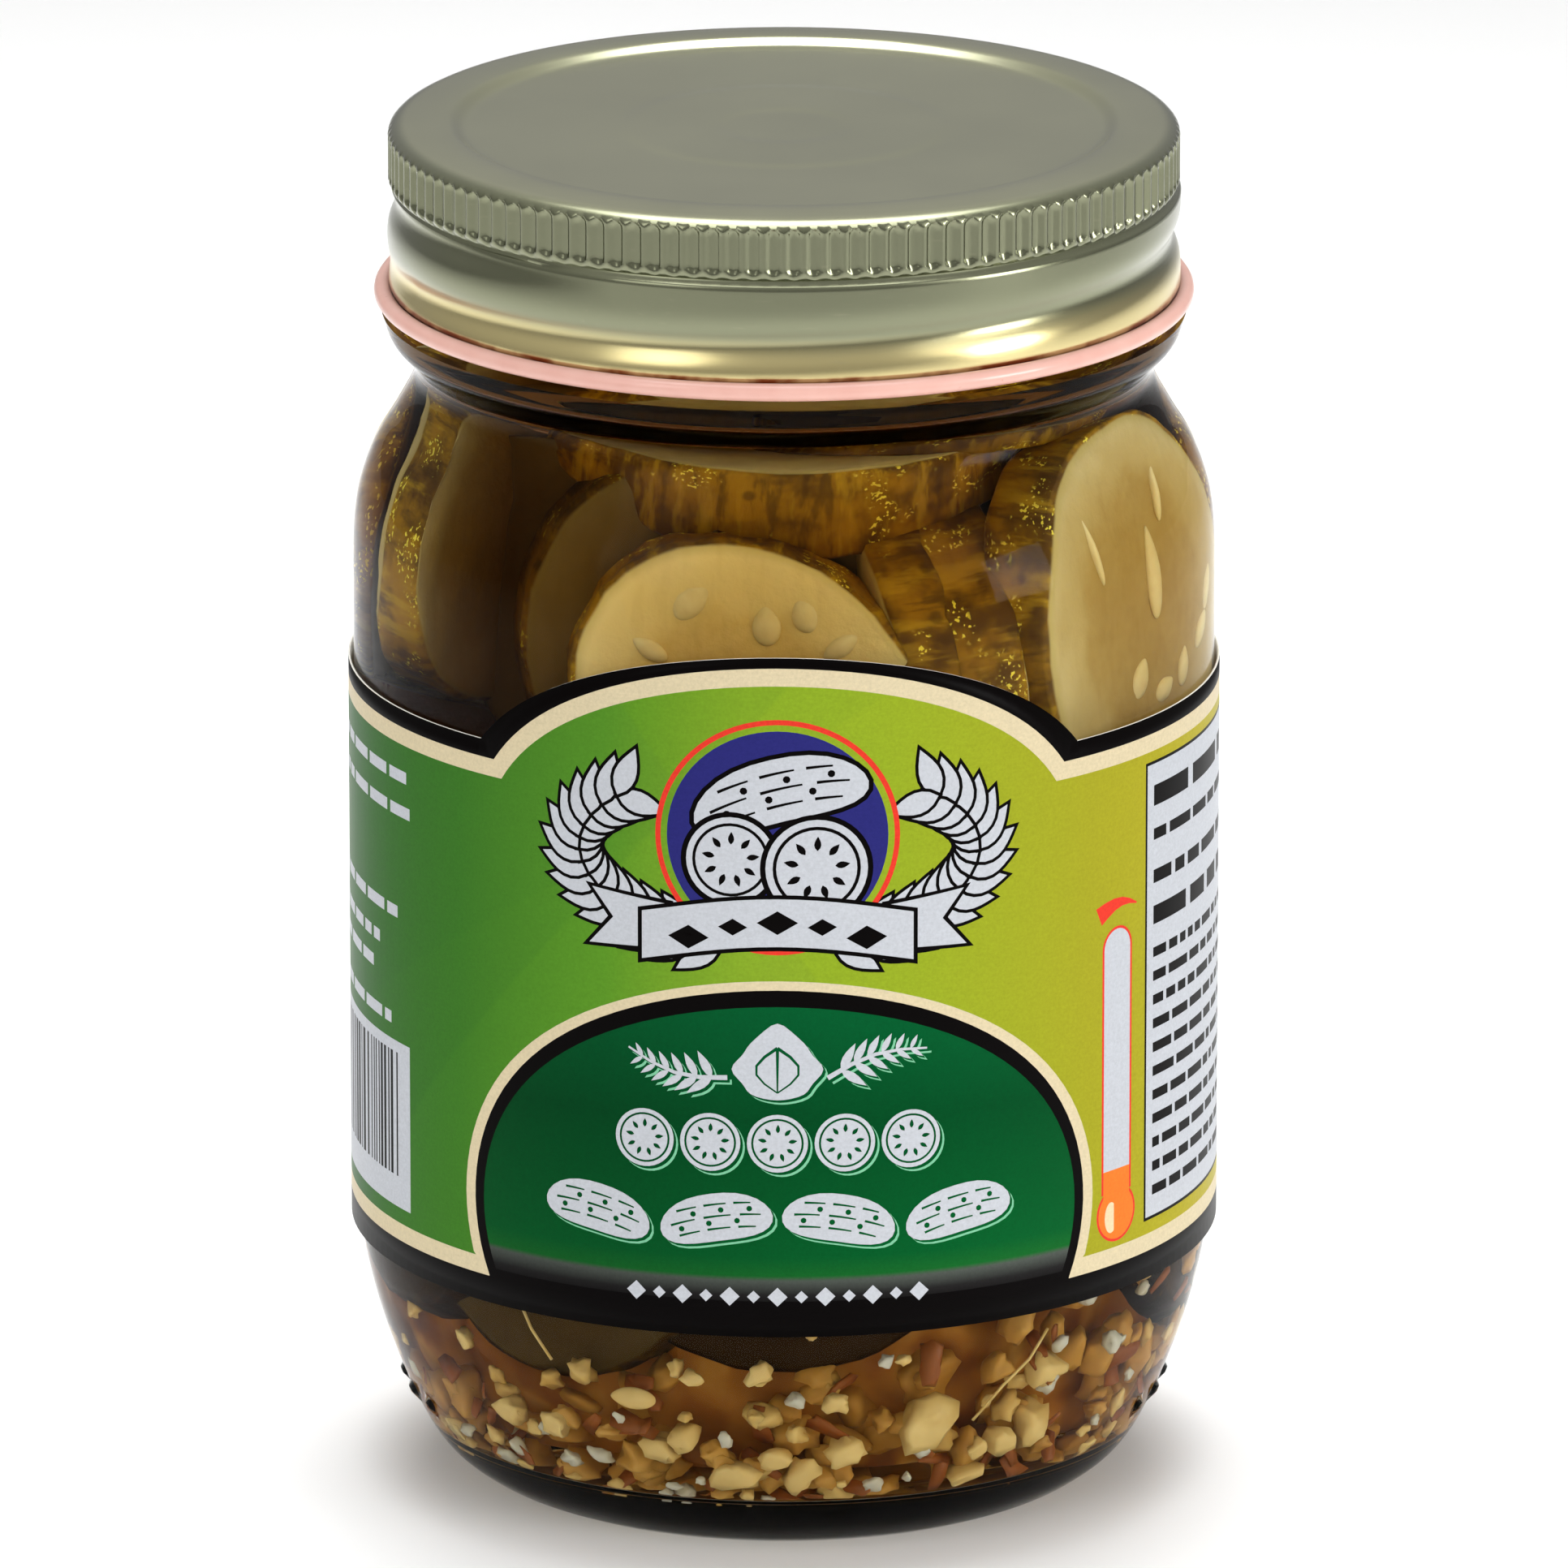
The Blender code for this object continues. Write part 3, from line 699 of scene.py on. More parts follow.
def inkGherkin(centre, length, width, turn, light, dark, bow=0.12):
    ink(light, moved(gherkin(length, width, bow), centre, turn))
    for level, reach in ((-0.24, 0.34), (0.02, 0.40), (0.27, 0.33)):  # furrows, broken by small warts
        for first, last in ((-1, -0.45), (-0.25, 0.35), (0.55, 1)):
            line = []
            for step in range(5):
                along = length * reach * (first + (last - first) * step / 4)
                line.append((along, bow * length * (0.5 - (2 * along / length) ** 2) + width * level))
            ink(dark, moved(stroke(line, width * 0.05, width * 0.03), centre, turn))
    for index in range(6):
        along = length * (index / 5 - 0.5) * 0.62
        level = bow * length * (0.5 - (2 * along / length) ** 2) + width * (0.14 if index % 2 else -0.11)
        ink(dark, moved(ellipse((along, level), width * 0.06, width * 0.06, count=8), centre, turn))


def inkGarlic(centre, size, light, dark):
    bulb = []
    for step in range(40):
        turn = 2 * pi * step / 40
        neck = max(0, sin(turn)) ** 10
        width = 0.56 + 0.04 * cos(6 * turn)
        bulb.append((size * cos(turn) * width, size * (0.42 * sin(turn) + 0.22 * neck - 0.08)))
    ink(light, moved(bulb, centre))
    for lean in (-0.24, 0, 0.24):
        rib = [(centre[0] + lean * size * sin(pi * share) * 1.2, centre[1] + size * (0.22 - 0.62 * share))
               for share in (0, 0.2, 0.4, 0.6, 0.8, 1)]
        ink(dark, stroke(rib, size * 0.045, size * 0.02))


def inkSprig(centre, length, turn, light):  # a dill frond
    stem = [(length * share, 0.10 * length * sin(pi * share)) for share in (0, 0.25, 0.5, 0.75, 1)]
    ink(light, moved(stroke(stem, length * 0.05, length * 0.02), centre, turn))
    for index in range(6):
        share = 0.14 + 0.14 * index
        root = (length * share, 0.10 * length * sin(pi * share))
        for side in (-1, 1):
            reach = length * 0.30 * (1.1 - share * 0.7)
            ink(light, moved(moved(leaf(reach, reach * 0.3, 5), root, side * 48), centre, turn))


def archedField(colour, past, low, sideTop, across, up, apex):  # level at the sides, an arch over the middle
    reach = label["halfLength"] + past
    level = apex - up
    meet = degrees(asin((sideTop - level) / up))
    top = ellipse((label["middle"], level), across, up, meet, 180 - meet, 44)
    ink(colour, [(-reach, low), (reach, low), (reach, sideTop)] + top + [(-reach, sideTop)])


def inkFrame():
    middle, foot = label["middle"], label["panelFoot"]
    for arch in label["arches"]:
        archedField(*arch)
    tips = [(middle - foot, 26.75), (middle + foot, 26.75)]
    ink("cream", ellipse((middle, 34.5), 32.1, 24.1, -14, 194, 60) + tips)
    skirt = [(middle - foot, 23.0), (middle + foot, 23.0)]
    ink("black", ellipse((middle, 34.5), 30.9, 23.2, -19.4, 199.4, 60) + skirt)
    ink("panel", ellipse((middle, 34.3), 29.8, 21.8, -18, 198, 60))


def inkEmblem():
    middle = label["middle"]
    centre = (middle, 72.4)
    for side in (-1, 1):  # a wreath of plain leaves round the disc
        stem = [(middle + side * 19.0 * sin(radians(turn)), 70.4 - 8.6 * cos(radians(turn)))
                for turn in range(8, 137, 8)]
        ink("black", stroke(stem, 0.7, 0.3))
        for index in range(1, len(stem) - 1):
            root, after = Vector(stem[index]), Vector(stem[index + 1])
            heading = degrees(atan2(after.y - root.y, after.x - root.x))
            for lean in (-42, 42):
                shape = moved(leaf(4.9, 2.1), root, heading + lean)
                ink("black", grown(shape, 0.32))
                ink("white", shape)
    ink("red", ellipse(centre, 11.3, 11.3, count=72))
    ink("field", ellipse(centre, 10.8, 10.8, count=72))
    ink("navy", ellipse(centre, 10.2, 10.2, count=72))
    spot, length, width, turn, bow = (middle + 0.2, 76.3), 16.5, 6.0, 14, 0.08
    ink("black", moved(grown(gherkin(length, width, bow), 0.45), spot, turn))
    inkGherkin(spot, length, width, turn, "white", "black", bow)
    for spot, radius in (((middle - 4.3, 70.2), 4.1), ((middle + 3.6, 69.4), 4.7)):
        ink("black", ellipse(spot, radius + 0.5, radius + 0.5))
        inkSlice(spot, radius, "white", "black")
    for side in (-1, 1):  # a plain ribbon below
        tail = [(middle + side * out, level) for out, level in label["ribbonTail"]][::-side]
        ink("black", grown(tail, 0.4))
        ink("white", tail)
    low = []
    for step in range(15):
        share = step / 14
        low.append((middle - 12.6 + 25.2 * share, 60.2 + 1.7 * sin(pi * share)))
    ribbon = low + [(x, y + 4.6) for x, y in low[::-1]]
    ink("black", grown(ribbon, 0.4))
    ink("white", ribbon)
    for index in range(-2, 3):
        spot = (middle + 4.1 * index, 62.5 + 1.7 * cos(index * 0.75))
        size = 1.35 if index % 2 else 1.9
        ink("black", [(spot[0] - size, spot[1]), (spot[0], spot[1] - size * 0.6), (spot[0] + size, spot[1]),
                      (spot[0], spot[1] + size * 0.6)])


def inkOrnaments():  # three rows on the dark panel, each figure with a pale edge at its lower right
    middle = label["middle"]
    for shift, colour in ((0.42, "edge"), (0.24, "panel"), (0.0, "white")):
        inside = "panel" if colour == "white" else colour
        right, down = middle + shift, -shift
        inkGarlic((right, 50.6 + down), 7.0, colour, inside)
        for side in (-1, 1):
            inkSprig((right + side * 4.6, 49.2 + down), 9.6, 14 if side > 0 else 166, colour)
        for index in range(-2, 3):
            inkSlice((right + 6.2 * index, 42.9 + down), 2.8, colour, inside)
        for index in range(4):
            spot = (right + 11.4 * (index - 1.5), 35.3 + down)
            inkGherkin(spot, 10.6, 4.6, 10 if index % 2 else -10, colour, inside, 0.06)
    for index in range(-6, 7):
        size = 0.75 if index % 2 else 1.15
        spot = (middle + 2.2 * index, 28.0)
        ink("white", [(spot[0] - size * 0.8, spot[1]), (spot[0], spot[1] - size * 0.8),
                      (spot[0] + size * 0.8, spot[1]), (spot[0], spot[1] + size * 0.8)])


def inkLine(draw, left, right, level, height, colour):  # one row of plain dashes
    along = left
    while along < right - 1.0:
        word = min(draw.uniform(1.4, 5.2) * height / 1.2, right - along)
        ink(colour, bar(along, along + word, level, level + height))
        along += word + height * 0.6


def inkSides():
    draw = Random(label["seed"])
    left, gaugeX, right = label["leftMiddle"], label["gauge"], label["rightStart"]
    for level, halfWidth in label["leftLines"]:
        inkLine(draw, left - halfWidth, left + halfWidth, level, 1.15, "white")
    ink("white", bar(-68.6, -41.4, 29.9, 46.1))  # a pale field of plain stripes
    along = -66.6
    while along < -43.6:
        width = draw.choice((0.28, 0.28, 0.5, 0.75))
        ink("black", bar(along, along + width, 32.9, 45.0))
        along += width + draw.choice((0.3, 0.45, 0.7))
    gauge = ellipse((gaugeX, 57.5), 1.85, 1.9, 0, 180, 16) + [(32.95, 34.0), (36.65, 34.0)]
    ink("red", grown(gauge, 0.26))  # a gauge with a bulb, and a chilli above it
    ink("white", gauge)
    ink("red", ellipse((gaugeX, 31.7), 2.75, 2.75))
    ink("orange", ellipse((gaugeX, 31.7), 2.5, 2.5))
    ink("orange", bar(32.95, 36.65, 32.8, 36.0))
    ink("pale", ellipse((34.0, 31.4), 0.85, 1.5, 60, 300, 20))
    chilli = [(5.4 * share, 0.9 * sin(pi * share * 0.9)) for share in (0, 0.2, 0.4, 0.6, 0.8, 1)]
    ink("red", moved(stroke(chilli, 1.9, 0.15), (32.2, 61.0)))
    ink("black", bar(39.0, 79.0, 29.7, 74.3))  # a pale panel of plain lines
    ink("white", bar(39.3, 78.7, 30.0, 74.0))
    for level, height, share in label["rightLines"]:
        inkLine(draw, right, right + 36.8 * share, level, height, "black")
    level = 55.2
    while level > 31.0:
        inkLine(draw, right, 77.0, level, 0.95, "black")
        level -= 2.32
    for row in range(9):  # plain rows on the far side
        inkLine(draw, 84.0, 112.0, 66.0 - 3.4 * row, 1.1, "white")
        inkLine(draw, -112.0, -82.0, 66.0 - 3.4 * row, 1.1, "white")


def outlineArea(outline):
    return sum(a[0] * b[1] - b[0] * a[1] for a, b in zip(outline, outline[1:] + outline[:1])) / 2


def printMaterial(name, colour, paint=None):  # paint makes the colour socket where the ink isn't even
    material, tree = newMaterial(name)
    place = put(tree, "TexCoord").outputs["Object"]
    dots = grain(tree, place, 3200, 2, 0.7)
    fibres = stretchedGrain(tree, place, (900, 900, 5200))
    base = paint(tree, place) if paint else colour
    speck = calc(tree, "MULTIPLY_ADD", dots, 0.34, 0.83)
    speck = calc(tree, "MULTIPLY", speck, calc(tree, "MULTIPLY_ADD", fibres, 0.12, 0.94))
    speckColour = put(tree, "CombineColor", {0: speck, 1: speck, 2: speck}).outputs[0]
    surface = put(tree, "BsdfPrincipled", {
        "Base Color": tinted(tree, base, speckColour), "Roughness": 0.34, "Specular IOR Level": 0.03,
        "Normal": bump(tree, fibres, 0.01 * mm, 0.3),
    })
    finishMaterial(tree, surface.outputs[0])
    return material


def labelPlace(tree, place):  # mm along the label and mm up
    parts = splitUp(tree, place)
    turn = calc(tree, "ARCTAN2", parts[0], calc(tree, "MULTIPLY", parts[1], -1.0))
    along = calc(tree, "MULTIPLY", turn, degrees(label["mmPerDegree"]))
    return along, calc(tree, "MULTIPLY", parts[2], 1 / mm)


def paintField(tree, place):  # green turning to yellow-green, with broad straight-edged rays
    along, up = labelPlace(tree, place)
    share = put(tree, "MapRange", {0: along, 1: -60.0, 2: 60.0}).outputs[0]
    colour = ramp(tree, share, label["fieldInk"])
    for slope, across, gain in label["rays"]:
        edge = calc(tree, "MULTIPLY_ADD", up, slope, across)
        mask = stepUp(tree, -0.4, 0.4, calc(tree, "SUBTRACT", along, edge))
        colour = blend(tree, mask, colour, tinted(tree, colour, gain))
    return colour


def paintPanel(tree, place):  # dark green, fading to black in a grey glow at the foot
    along, up = labelPlace(tree, place)
    share = put(tree, "MapRange", {0: up, 1: 27.0, 2: 57.0}).outputs[0]
    colour = ramp(tree, share, label["panelInk"])
    side = stepUp(tree, -24.0, 26.0, along)
    return blend(tree, side, tinted(tree, colour, (0.74, 0.74, 0.74, 1)), colour)


def buildLabel():
    inkFrame()
    inkEmblem()
    inkOrnaments()
    inkSides()
    points, faces, edges = [], [], []
    for _, outline in printed:
        if outlineArea(outline) < 0:
            outline = outline[::-1]
        faces.append(list(range(len(points), len(points) + len(outline))))
        points += [Vector(point) for point in outline]
    columns = round(2 * label["halfLength"] / label["columnStep"])
    for column in range(1, columns):
        along = -label["halfLength"] + 2 * label["halfLength"] * column / columns
        edges.append((len(points), len(points) + 1))
        points += [Vector((along, label["bottom"] - 1)), Vector((along, 91.0))]
    spots, _, triangles, _, _, covers = delaunay_2d_cdt(points, edges, faces, 0, 0.0001, True)
    inks = list(label["inks"])
    bm = bmesh.new()
    verts = {}
    for corners, cover in zip(triangles, covers):
        if 0 not in cover:
            continue
        made = []
        for corner in corners:
            if corner not in verts:
                along, up = spots[corner]
                spot = atAngle(along / label["mmPerDegree"], label["outerRadius"], up * mm)
                verts[corner] = bm.verts.new(spot)
            made.append(verts[corner])
        bm.faces.new(made).material_index = inks.index(printed[max(cover)][0])
    painters = {"field": paintField, "panel": paintPanel}
    materials = []
    for name, colour in label["inks"].items():
        materials.append(printMaterial(name + "Ink", colour, painters.get(name)))
    bare = printMaterial("labelPaper", rgb(236, 234, 226))
    piece = makePiece("labelPaper", bm, materials + [bare], sharp=30)
    sheet = piece.modifiers.new("paper", "SOLIDIFY")
    sheet.thickness = label["paper"]
    sheet.offset = -1
    sheet.material_offset = len(materials)
    sheet.material_offset_rim = len(materials)
    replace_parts(piece, "label")
    print("label:", len(printed), "printed shapes")


# Pickle slices, pressed round a core

pickles = {
    "frontSlices": {  # angle, height, distance out, turn and tip of the face, radius, thickness
        "frontMiddle": (-4.2, 81.8, 30.0, 0.0, 10.0, 17.6, 7.0),
        "frontHighFace": (-13.0, 86.0, 20.5, 8.0, 4.0, 17.2, 7.5),
        "frontHighFlat": (3.0, 104.0, 10.5, 4.0, 73.0, 18.6, 10.5),
        "rightOfMiddleEdge": (22.0, 80.5, 20.4, 88.0, 0.0, 16.4, 6.2),
        "rightEdge": (34.5, 81.0, 20.6, 84.0, 3.0, 16.2, 7.6),
        "rightFace": (64.5, 86.8, 30.2, 0.0, 6.0, 17.6, 8.0),
        "rightHighFlat": (52.0, 106.8, 14.5, 30.0, 82.0, 14.0, 4.2),
        "leftFace": (-40.0, 89.0, 19.0, -12.0, 2.0, 17.0, 7.5),
        "leftEdge": (-77.0, 92.5, 24.8, 117.0, 0.0, 15.0, 8.0),
        "lowLeft": (-38.0, 35.0, 29.8, 0.0, -4.0, 18.0, 7.0),
        "lowMiddle": (-1.0, 40.2, 29.6, 0.0, -3.0, 21.0, 7.5),
    },
    "ovals": {"frontMiddle": (0.80, 58), "rightFace": (0.95, 0)},  # squash and its direction
    "tonesAndPaintedShading": {  # 0 is pale and 1 is tan; frontMiddle and frontHighFlat are made pale as painted light against the shade they lie in; from 1 to 2 is painted shade, and 2 lies in the dark
        "frontMiddle": 0.0, "rightFace": 1.0, "frontHighFlat": 0.0, "frontHighFace": 1.6, "leftFace": 1.75,
        "leftEdge": 1.3, "rightOfMiddleEdge": 0.7, "rightEdge": 0.5, "rightHighFlat": 1.3, "lowLeft": 1.9,
    },
    "seeds": {  # across and up the face, half length, half width, lean
        "frontMiddle": ((-5.7, 10.2, 2.1, 1.35, 40), (0.8, 8.2, 1.7, 1.3, 95),
                        (7.4, 6.6, 1.9, 0.9, 35), (-9.4, 6.0, 1.8, 0.9, 150), (4.1, 9.2, 1.6, 1.2, 115)),
        "rightFace": ((1.9, 2.6, 3.9, 1.15, 92), (-1.4, -6.3, 2.1, 1.3, 60), (12.0, -1.0, 2.4, 0.9, 70),
                      (10.4, -4.4, 2.2, 1.0, 50), (-7.2, 6.8, 3.4, 0.45, 110), (2.6, -8.2, 1.7, 1.1, 20),
                      (6.2, -7.0, 1.9, 1.0, 75), (4.6, 8.8, 2.6, 0.6, 80)),
    },
    "paintedShadeBelow": 50.0,  # slices under this height get painted shade (tone 2), as they lie in the dark
    "waves": ((0.045, 1.1), (0.014, 4), (0.011, 10)),  # depth as a share of the radius, and fineness
    "bend": 0.9,
    "dish": 0.45 * mm,
    "roughness": 0.35 * mm,
    # Height, first and last angle, and number of the slices that stand round the back
    "backRings": ((90.0, 120.0, 240.0, 5), (36.0, 55.0, 285.0, 7), (62.0, 160.0, 200.0, 2)),
    "backRadii": (15.0, 19.5),
    "backSeed": 14,
    "lookSeed": 3,
    "sides": 72,
    "rounding": 1.1,
    "wallGap": 0.45 * mm,
    "top": 109.5 * mm,
    "core": [(0, 103), (15, 103), (19.5, 92), (20, 60), (21, 30), (24, 15), (0, 15)],
}


def backSlices():
    draw = Random(pickles["backSeed"])
    places = []
    for height, first, last, count in pickles["backRings"]:
        for index in range(count):
            angle = first + (last - first) * index / max(1, count - 1)
            radius = draw.uniform(*pickles["backRadii"])
            onEdge = draw.random() < 0.35
            turn = draw.uniform(65.0, 100.0) if onEdge else draw.uniform(-16.0, 16.0)
            distance = 37.0 - radius if onEdge else draw.uniform(28.0, 30.5)
            places.append((angle, height + draw.uniform(-3.0, 3.0), distance, turn, draw.uniform(-10.0, 10.0),
                           radius, draw.uniform(6.5, 8.5)))
    return places


def keepInJar(spot, gap):  # presses a point back inside the glass
    height = min(pickles["top"], spot.z)
    reach = readRadius(innerWall, height) - gap
    across = hypot(spot.x, spot.y)
    pull = min(1.0, reach / across) if across > 0 else 1.0
    return Vector((spot.x * pull, spot.y * pull, height))


def sliceFrame(place):
    angle, height, distance, turn, tip = place[:5]
    facing = atAngle(angle + turn, cos(radians(tip)), sin(radians(tip)))
    centre = Matrix.Translation(atAngle(angle, distance * mm, height * mm))
    return centre @ facing.to_track_quat("Z", "Y").to_matrix().to_4x4()


def vectorLayer(bm, name):
    layers = bm.verts.layers.float_vector
    return layers.get(name) or layers.new(name)


def addSlice(bm, name, place, draw):
    radius, thick = place[5] * mm, place[6] * mm
    squash, direction = pickles["ovals"].get(name, (1, 0))
    narrow = Vector((cos(radians(direction)), sin(radians(direction)), 0))
    where = sliceFrame(place)
    rounding = pickles["rounding"] * mm
    tone, seed = draw.random(), draw.uniform(0, 50)
    # low slices take tone 2: painted shade
    tone = 2.0 if place[1] < pickles["paintedShadeBelow"] else tone
    tone = pickles["tonesAndPaintedShading"].get(name, tone)
    bend = draw.uniform(-pickles["bend"], pickles["bend"]) * mm
    section = [(share, thick / 2, 0) for share in (0.16, 0.32, 0.46, 0.58, 0.70, 0.80, 0.88)]
    for step in range(6):
        turn = pi / 2 * step / 5
        level = thick / 2 - rounding * (1 - cos(turn))
        section.append((1 - rounding / radius * (1 - sin(turn)), level, step / 5))
    middle = [(1, thick / 2 - rounding - (thick - 2 * rounding) * step / 4, 1) for step in (1, 2, 3)]
    section = section + middle + [(share, -level, skin) for share, level, skin in section[::-1]]
    localLayer, cutLayer = vectorLayer(bm, "local"), vectorLayer(bm, "cut")

    def addPoint(share, turn, level, skin):
        around = Vector((cos(turn), sin(turn), 0))
        wave = 1
        for axis, (depth, fineness) in enumerate(pickles["waves"]):
            wave += depth * noise.noise(around * fineness + Matrix.Identity(3)[axis] * seed)
        spot = around * radius * wave * share
        spot -= narrow * narrow.dot(spot) * (1 - squash)
        spot.z = level
        local = spot.copy()
        side = 1 if level > 0 else -1
        if skin < 0.5:
            rough = pickles["roughness"] * noise.noise(local * 260 + Vector((0, 0, seed)))
            spot.z -= side * (pickles["dish"] * (1 - share**3) + rough)
        else:
            rough = noise.noise(Vector((local.x * 420, local.y * 420, level * 260 + seed)))
            spot += around * pickles["roughness"] * rough
        spot.z += bend * (spot.x**2 - spot.y**2) / radius**2
        vert = bm.verts.new(keepInJar(where @ spot, pickles["wallGap"]))
        vert[localLayer] = local + Vector((seed * mm, 0, 0))
        vert[cutLayer] = (share, skin, tone)
        return vert

    sides = pickles["sides"]
    rings = [[addPoint(share, 2 * pi * index / sides, level, skin) for index in range(sides)]
             for share, level, skin in section]
    for upper, lower in zip(rings, rings[1:]):
        for index in range(sides):
            after = (index + 1) % sides
            bm.faces.new((upper[index], lower[index], lower[after], upper[after]))
    for ring, level, order in ((rings[0], thick / 2, 1), (rings[-1], -thick / 2, -1)):
        middle = addPoint(0, 0, level, 0)
        for index in range(sides):
            bm.faces.new((middle, ring[index], ring[(index + 1) % sides])[::order])
    return where, radius, thick


def addSeeds(bm, name, where, radius, thick, draw):
    places = list(pickles["seeds"].get(name, ()))
    start = draw.uniform(0, 120)
    for group in range(0 if places else 5):
        turn, out = start + 72 * group + draw.uniform(-30, 30), draw.uniform(0.34, 0.54) * radius / mm
        places.append((out * cos(radians(turn)), out * sin(radians(turn)), draw.uniform(1.8, 2.8),
                       draw.uniform(0.8, 1.2), turn + draw.uniform(-20, 20)))
    for across, up, length, width, lean in places:
        spot = Matrix.Translation((across * mm, up * mm, thick / 2 - 0.42 * mm))
        spot = where @ spot @ Matrix.Rotation(radians(lean), 4, "Z")
        for vert in bmesh.ops.create_uvsphere(bm, u_segments=18, v_segments=11, radius=1.0)["verts"]:
            along = vert.co.z
            pinch = 1 - 0.45 * max(0, along) ** 1.5
            shape = Vector((along * length, vert.co.x * width * pinch, vert.co.y * 0.6 * pinch)) * mm
            vert.co = keepInJar(spot @ shape, pickles["wallGap"] * 0.4)


def makePickleSkinAndFlesh():
    material, tree = newMaterial("pickleCut")
    local = put(tree, "Attribute", attribute_name="local").outputs["Vector"]
    cut = put(tree, "Attribute", attribute_name="cut").outputs["Vector"]
    share, skinShare, tone = splitUp(tree, cut)
    soft = grain(tree, local, 260, 3)
    fine = grain(tree, local, 1100, 3)
    # tone 0 to 1 goes from pale to tan flesh, partly painted light
    flesh = blend(tree, tone, (0.91, 0.73, 0.34, 1), (0.50, 0.36, 0.13, 1))
    flesh = glaze(tree, soft, 0.3, flesh, (0.90, 0.78, 0.46, 1))
    heart = calc(tree, "ADD", share, calc(tree, "MULTIPLY_ADD", soft, 0.22, -0.11))
    gel = blend(tree, fine, (0.82, 0.76, 0.62, 1), (0.96, 0.92, 0.84, 1))
    flesh = blend(tree, stepUp(tree, 0.70, 0.54, heart), flesh, tinted(tree, flesh, gel))
    veins = stretchedGrain(tree, local, (700, 160, 300))
    vein = tinted(tree, flesh, (0.66, 0.58, 0.42, 1))
    flesh = glaze(tree, stepUp(tree, 0.50, 0.66, veins), 0.12, flesh, vein)
    flesh = glaze(tree, stepUp(tree, 0.90, 0.99, share), 0.6, flesh, (0.42, 0.32, 0.07, 1))
    patches = grain(tree, local, 150, 4, 0.6)
    streaks = stretchedGrain(tree, local, (520, 520, 110), 4, 0.6)
    skin = blend(tree, stepUp(tree, 0.36, 0.64, patches), (0.11, 0.050, 0.008, 1), (0.38, 0.19, 0.010, 1))
    skin = glaze(tree, stepUp(tree, 0.50, 0.68, streaks), 0.6, skin, (0.58, 0.35, 0.018, 1))
    skin = glaze(tree, stepUp(tree, 0.46, 0.34, streaks), 0.6, skin, (0.07, 0.034, 0.008, 1))
    specks = calc(tree, "MULTIPLY", stepUp(tree, 0.59, 0.64, grain(tree, local, 2300, 1)),
                  stepUp(tree, 0.56, 0.63, grain(tree, local, 190, 2)))
    skin = blend(tree, specks, skin, (0.95, 0.78, 0.08, 1))
    warts = put(tree, "TexVoronoi", {"Vector": local, "Scale": 230.0}).outputs["Distance"]
    skin = glaze(tree, stepUp(tree, 0.20, 0.08, warts), 0.6, skin, (0.06, 0.03, 0.008, 1))
    colour = blend(tree, stepUp(tree, 0.25, 0.5, skinShare), flesh, skin)
    # tone 1 to 2 darkens flesh and skin to deep brown: painted shade
    shade = put(tree, "MapRange", {0: tone, 1: 1.0, 2: 2.0}).outputs[0]
    colour = blend(tree, shade, colour, tinted(tree, colour, (0.05, 0.028, 0.012, 1)))
    height = calc(tree, "ADD", calc(tree, "ADD", soft, calc(tree, "MULTIPLY", fine, 0.4)), streaks)
    surface = put(tree, "BsdfPrincipled", {
        "Base Color": colour, "Roughness": 0.5, "Specular IOR Level": 0.08, "Subsurface Weight": 0.25,
        "Subsurface Radius": (1.0, 0.75, 0.3), "Subsurface Scale": 1.6 * mm,
        "Normal": bump(tree, height, 0.3 * mm, 0.6),
    })
    finishMaterial(tree, surface.outputs[0])
    return material


def makeSimple(name, low, high, scale, rough=0.45, toneName=None):  # two colours in a soft grain
    material, tree = newMaterial(name)
    place = put(tree, "TexCoord").outputs["Object"]
    soft = grain(tree, place, scale, 3)
    colour = blend(tree, soft, low, high)
    if toneName:
        tone = put(tree, "Attribute", attribute_name=toneName).outputs["Fac"]
        colour = blend(tree, tone, colour, blend(tree, soft, high, low))
    surface = put(tree, "BsdfPrincipled", {
        "Base Color": colour, "Roughness": rough, "Specular IOR Level": 0.3, "Subsurface Weight": 0.3,
        "Subsurface Radius": (1.0, 0.7, 0.35), "Subsurface Scale": 1.2 * mm,
        "Normal": bump(tree, soft, 0.2 * mm, 0.5),
    })
    finishMaterial(tree, surface.outputs[0])
    return material


def buildPickles():
    draw = Random(pickles["lookSeed"])
    slices, seeds = bmesh.new(), bmesh.new()
    places = dict(pickles["frontSlices"])
    places.update((f"back{index}", place) for index, place in enumerate(backSlices()))
    for name, place in places.items():
        where, radius, thick = addSlice(slices, name, place, draw)
        if abs(place[3]) < 34 and abs(place[4]) < 20 and pickles["tonesAndPaintedShading"].get(name, 0) <= 1:
            addSeeds(seeds, name, where, radius, thick, draw)
    piece = makePiece("pickleSlices", slices, [makePickleSkinAndFlesh()], sharp=70)
    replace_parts(piece, "pickle_slices")
    pale = makeSimple("seedCoat", (0.78, 0.62, 0.31, 1), (0.93, 0.81, 0.51, 1), 900)
    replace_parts(makePiece("pickleSeeds", seeds, [pale], sharp=70), "pickle_slices")
    core = bmesh.new()
    lathe(core, inMetres(pickles["core"]), roundAngles(48))
    # the core is coloured dark brown: painted shade for the hidden middle of the heap
    shade = makeSimple("pickleShade", (0.06, 0.034, 0.008, 1), (0.24, 0.15, 0.035, 1), 110, 0.6)
    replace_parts(makePiece("pickleCore", core, [shade]), "pickle_slices")


# Garlic and chilli on the jar's floor: bits at true size, each kind joined into one mesh

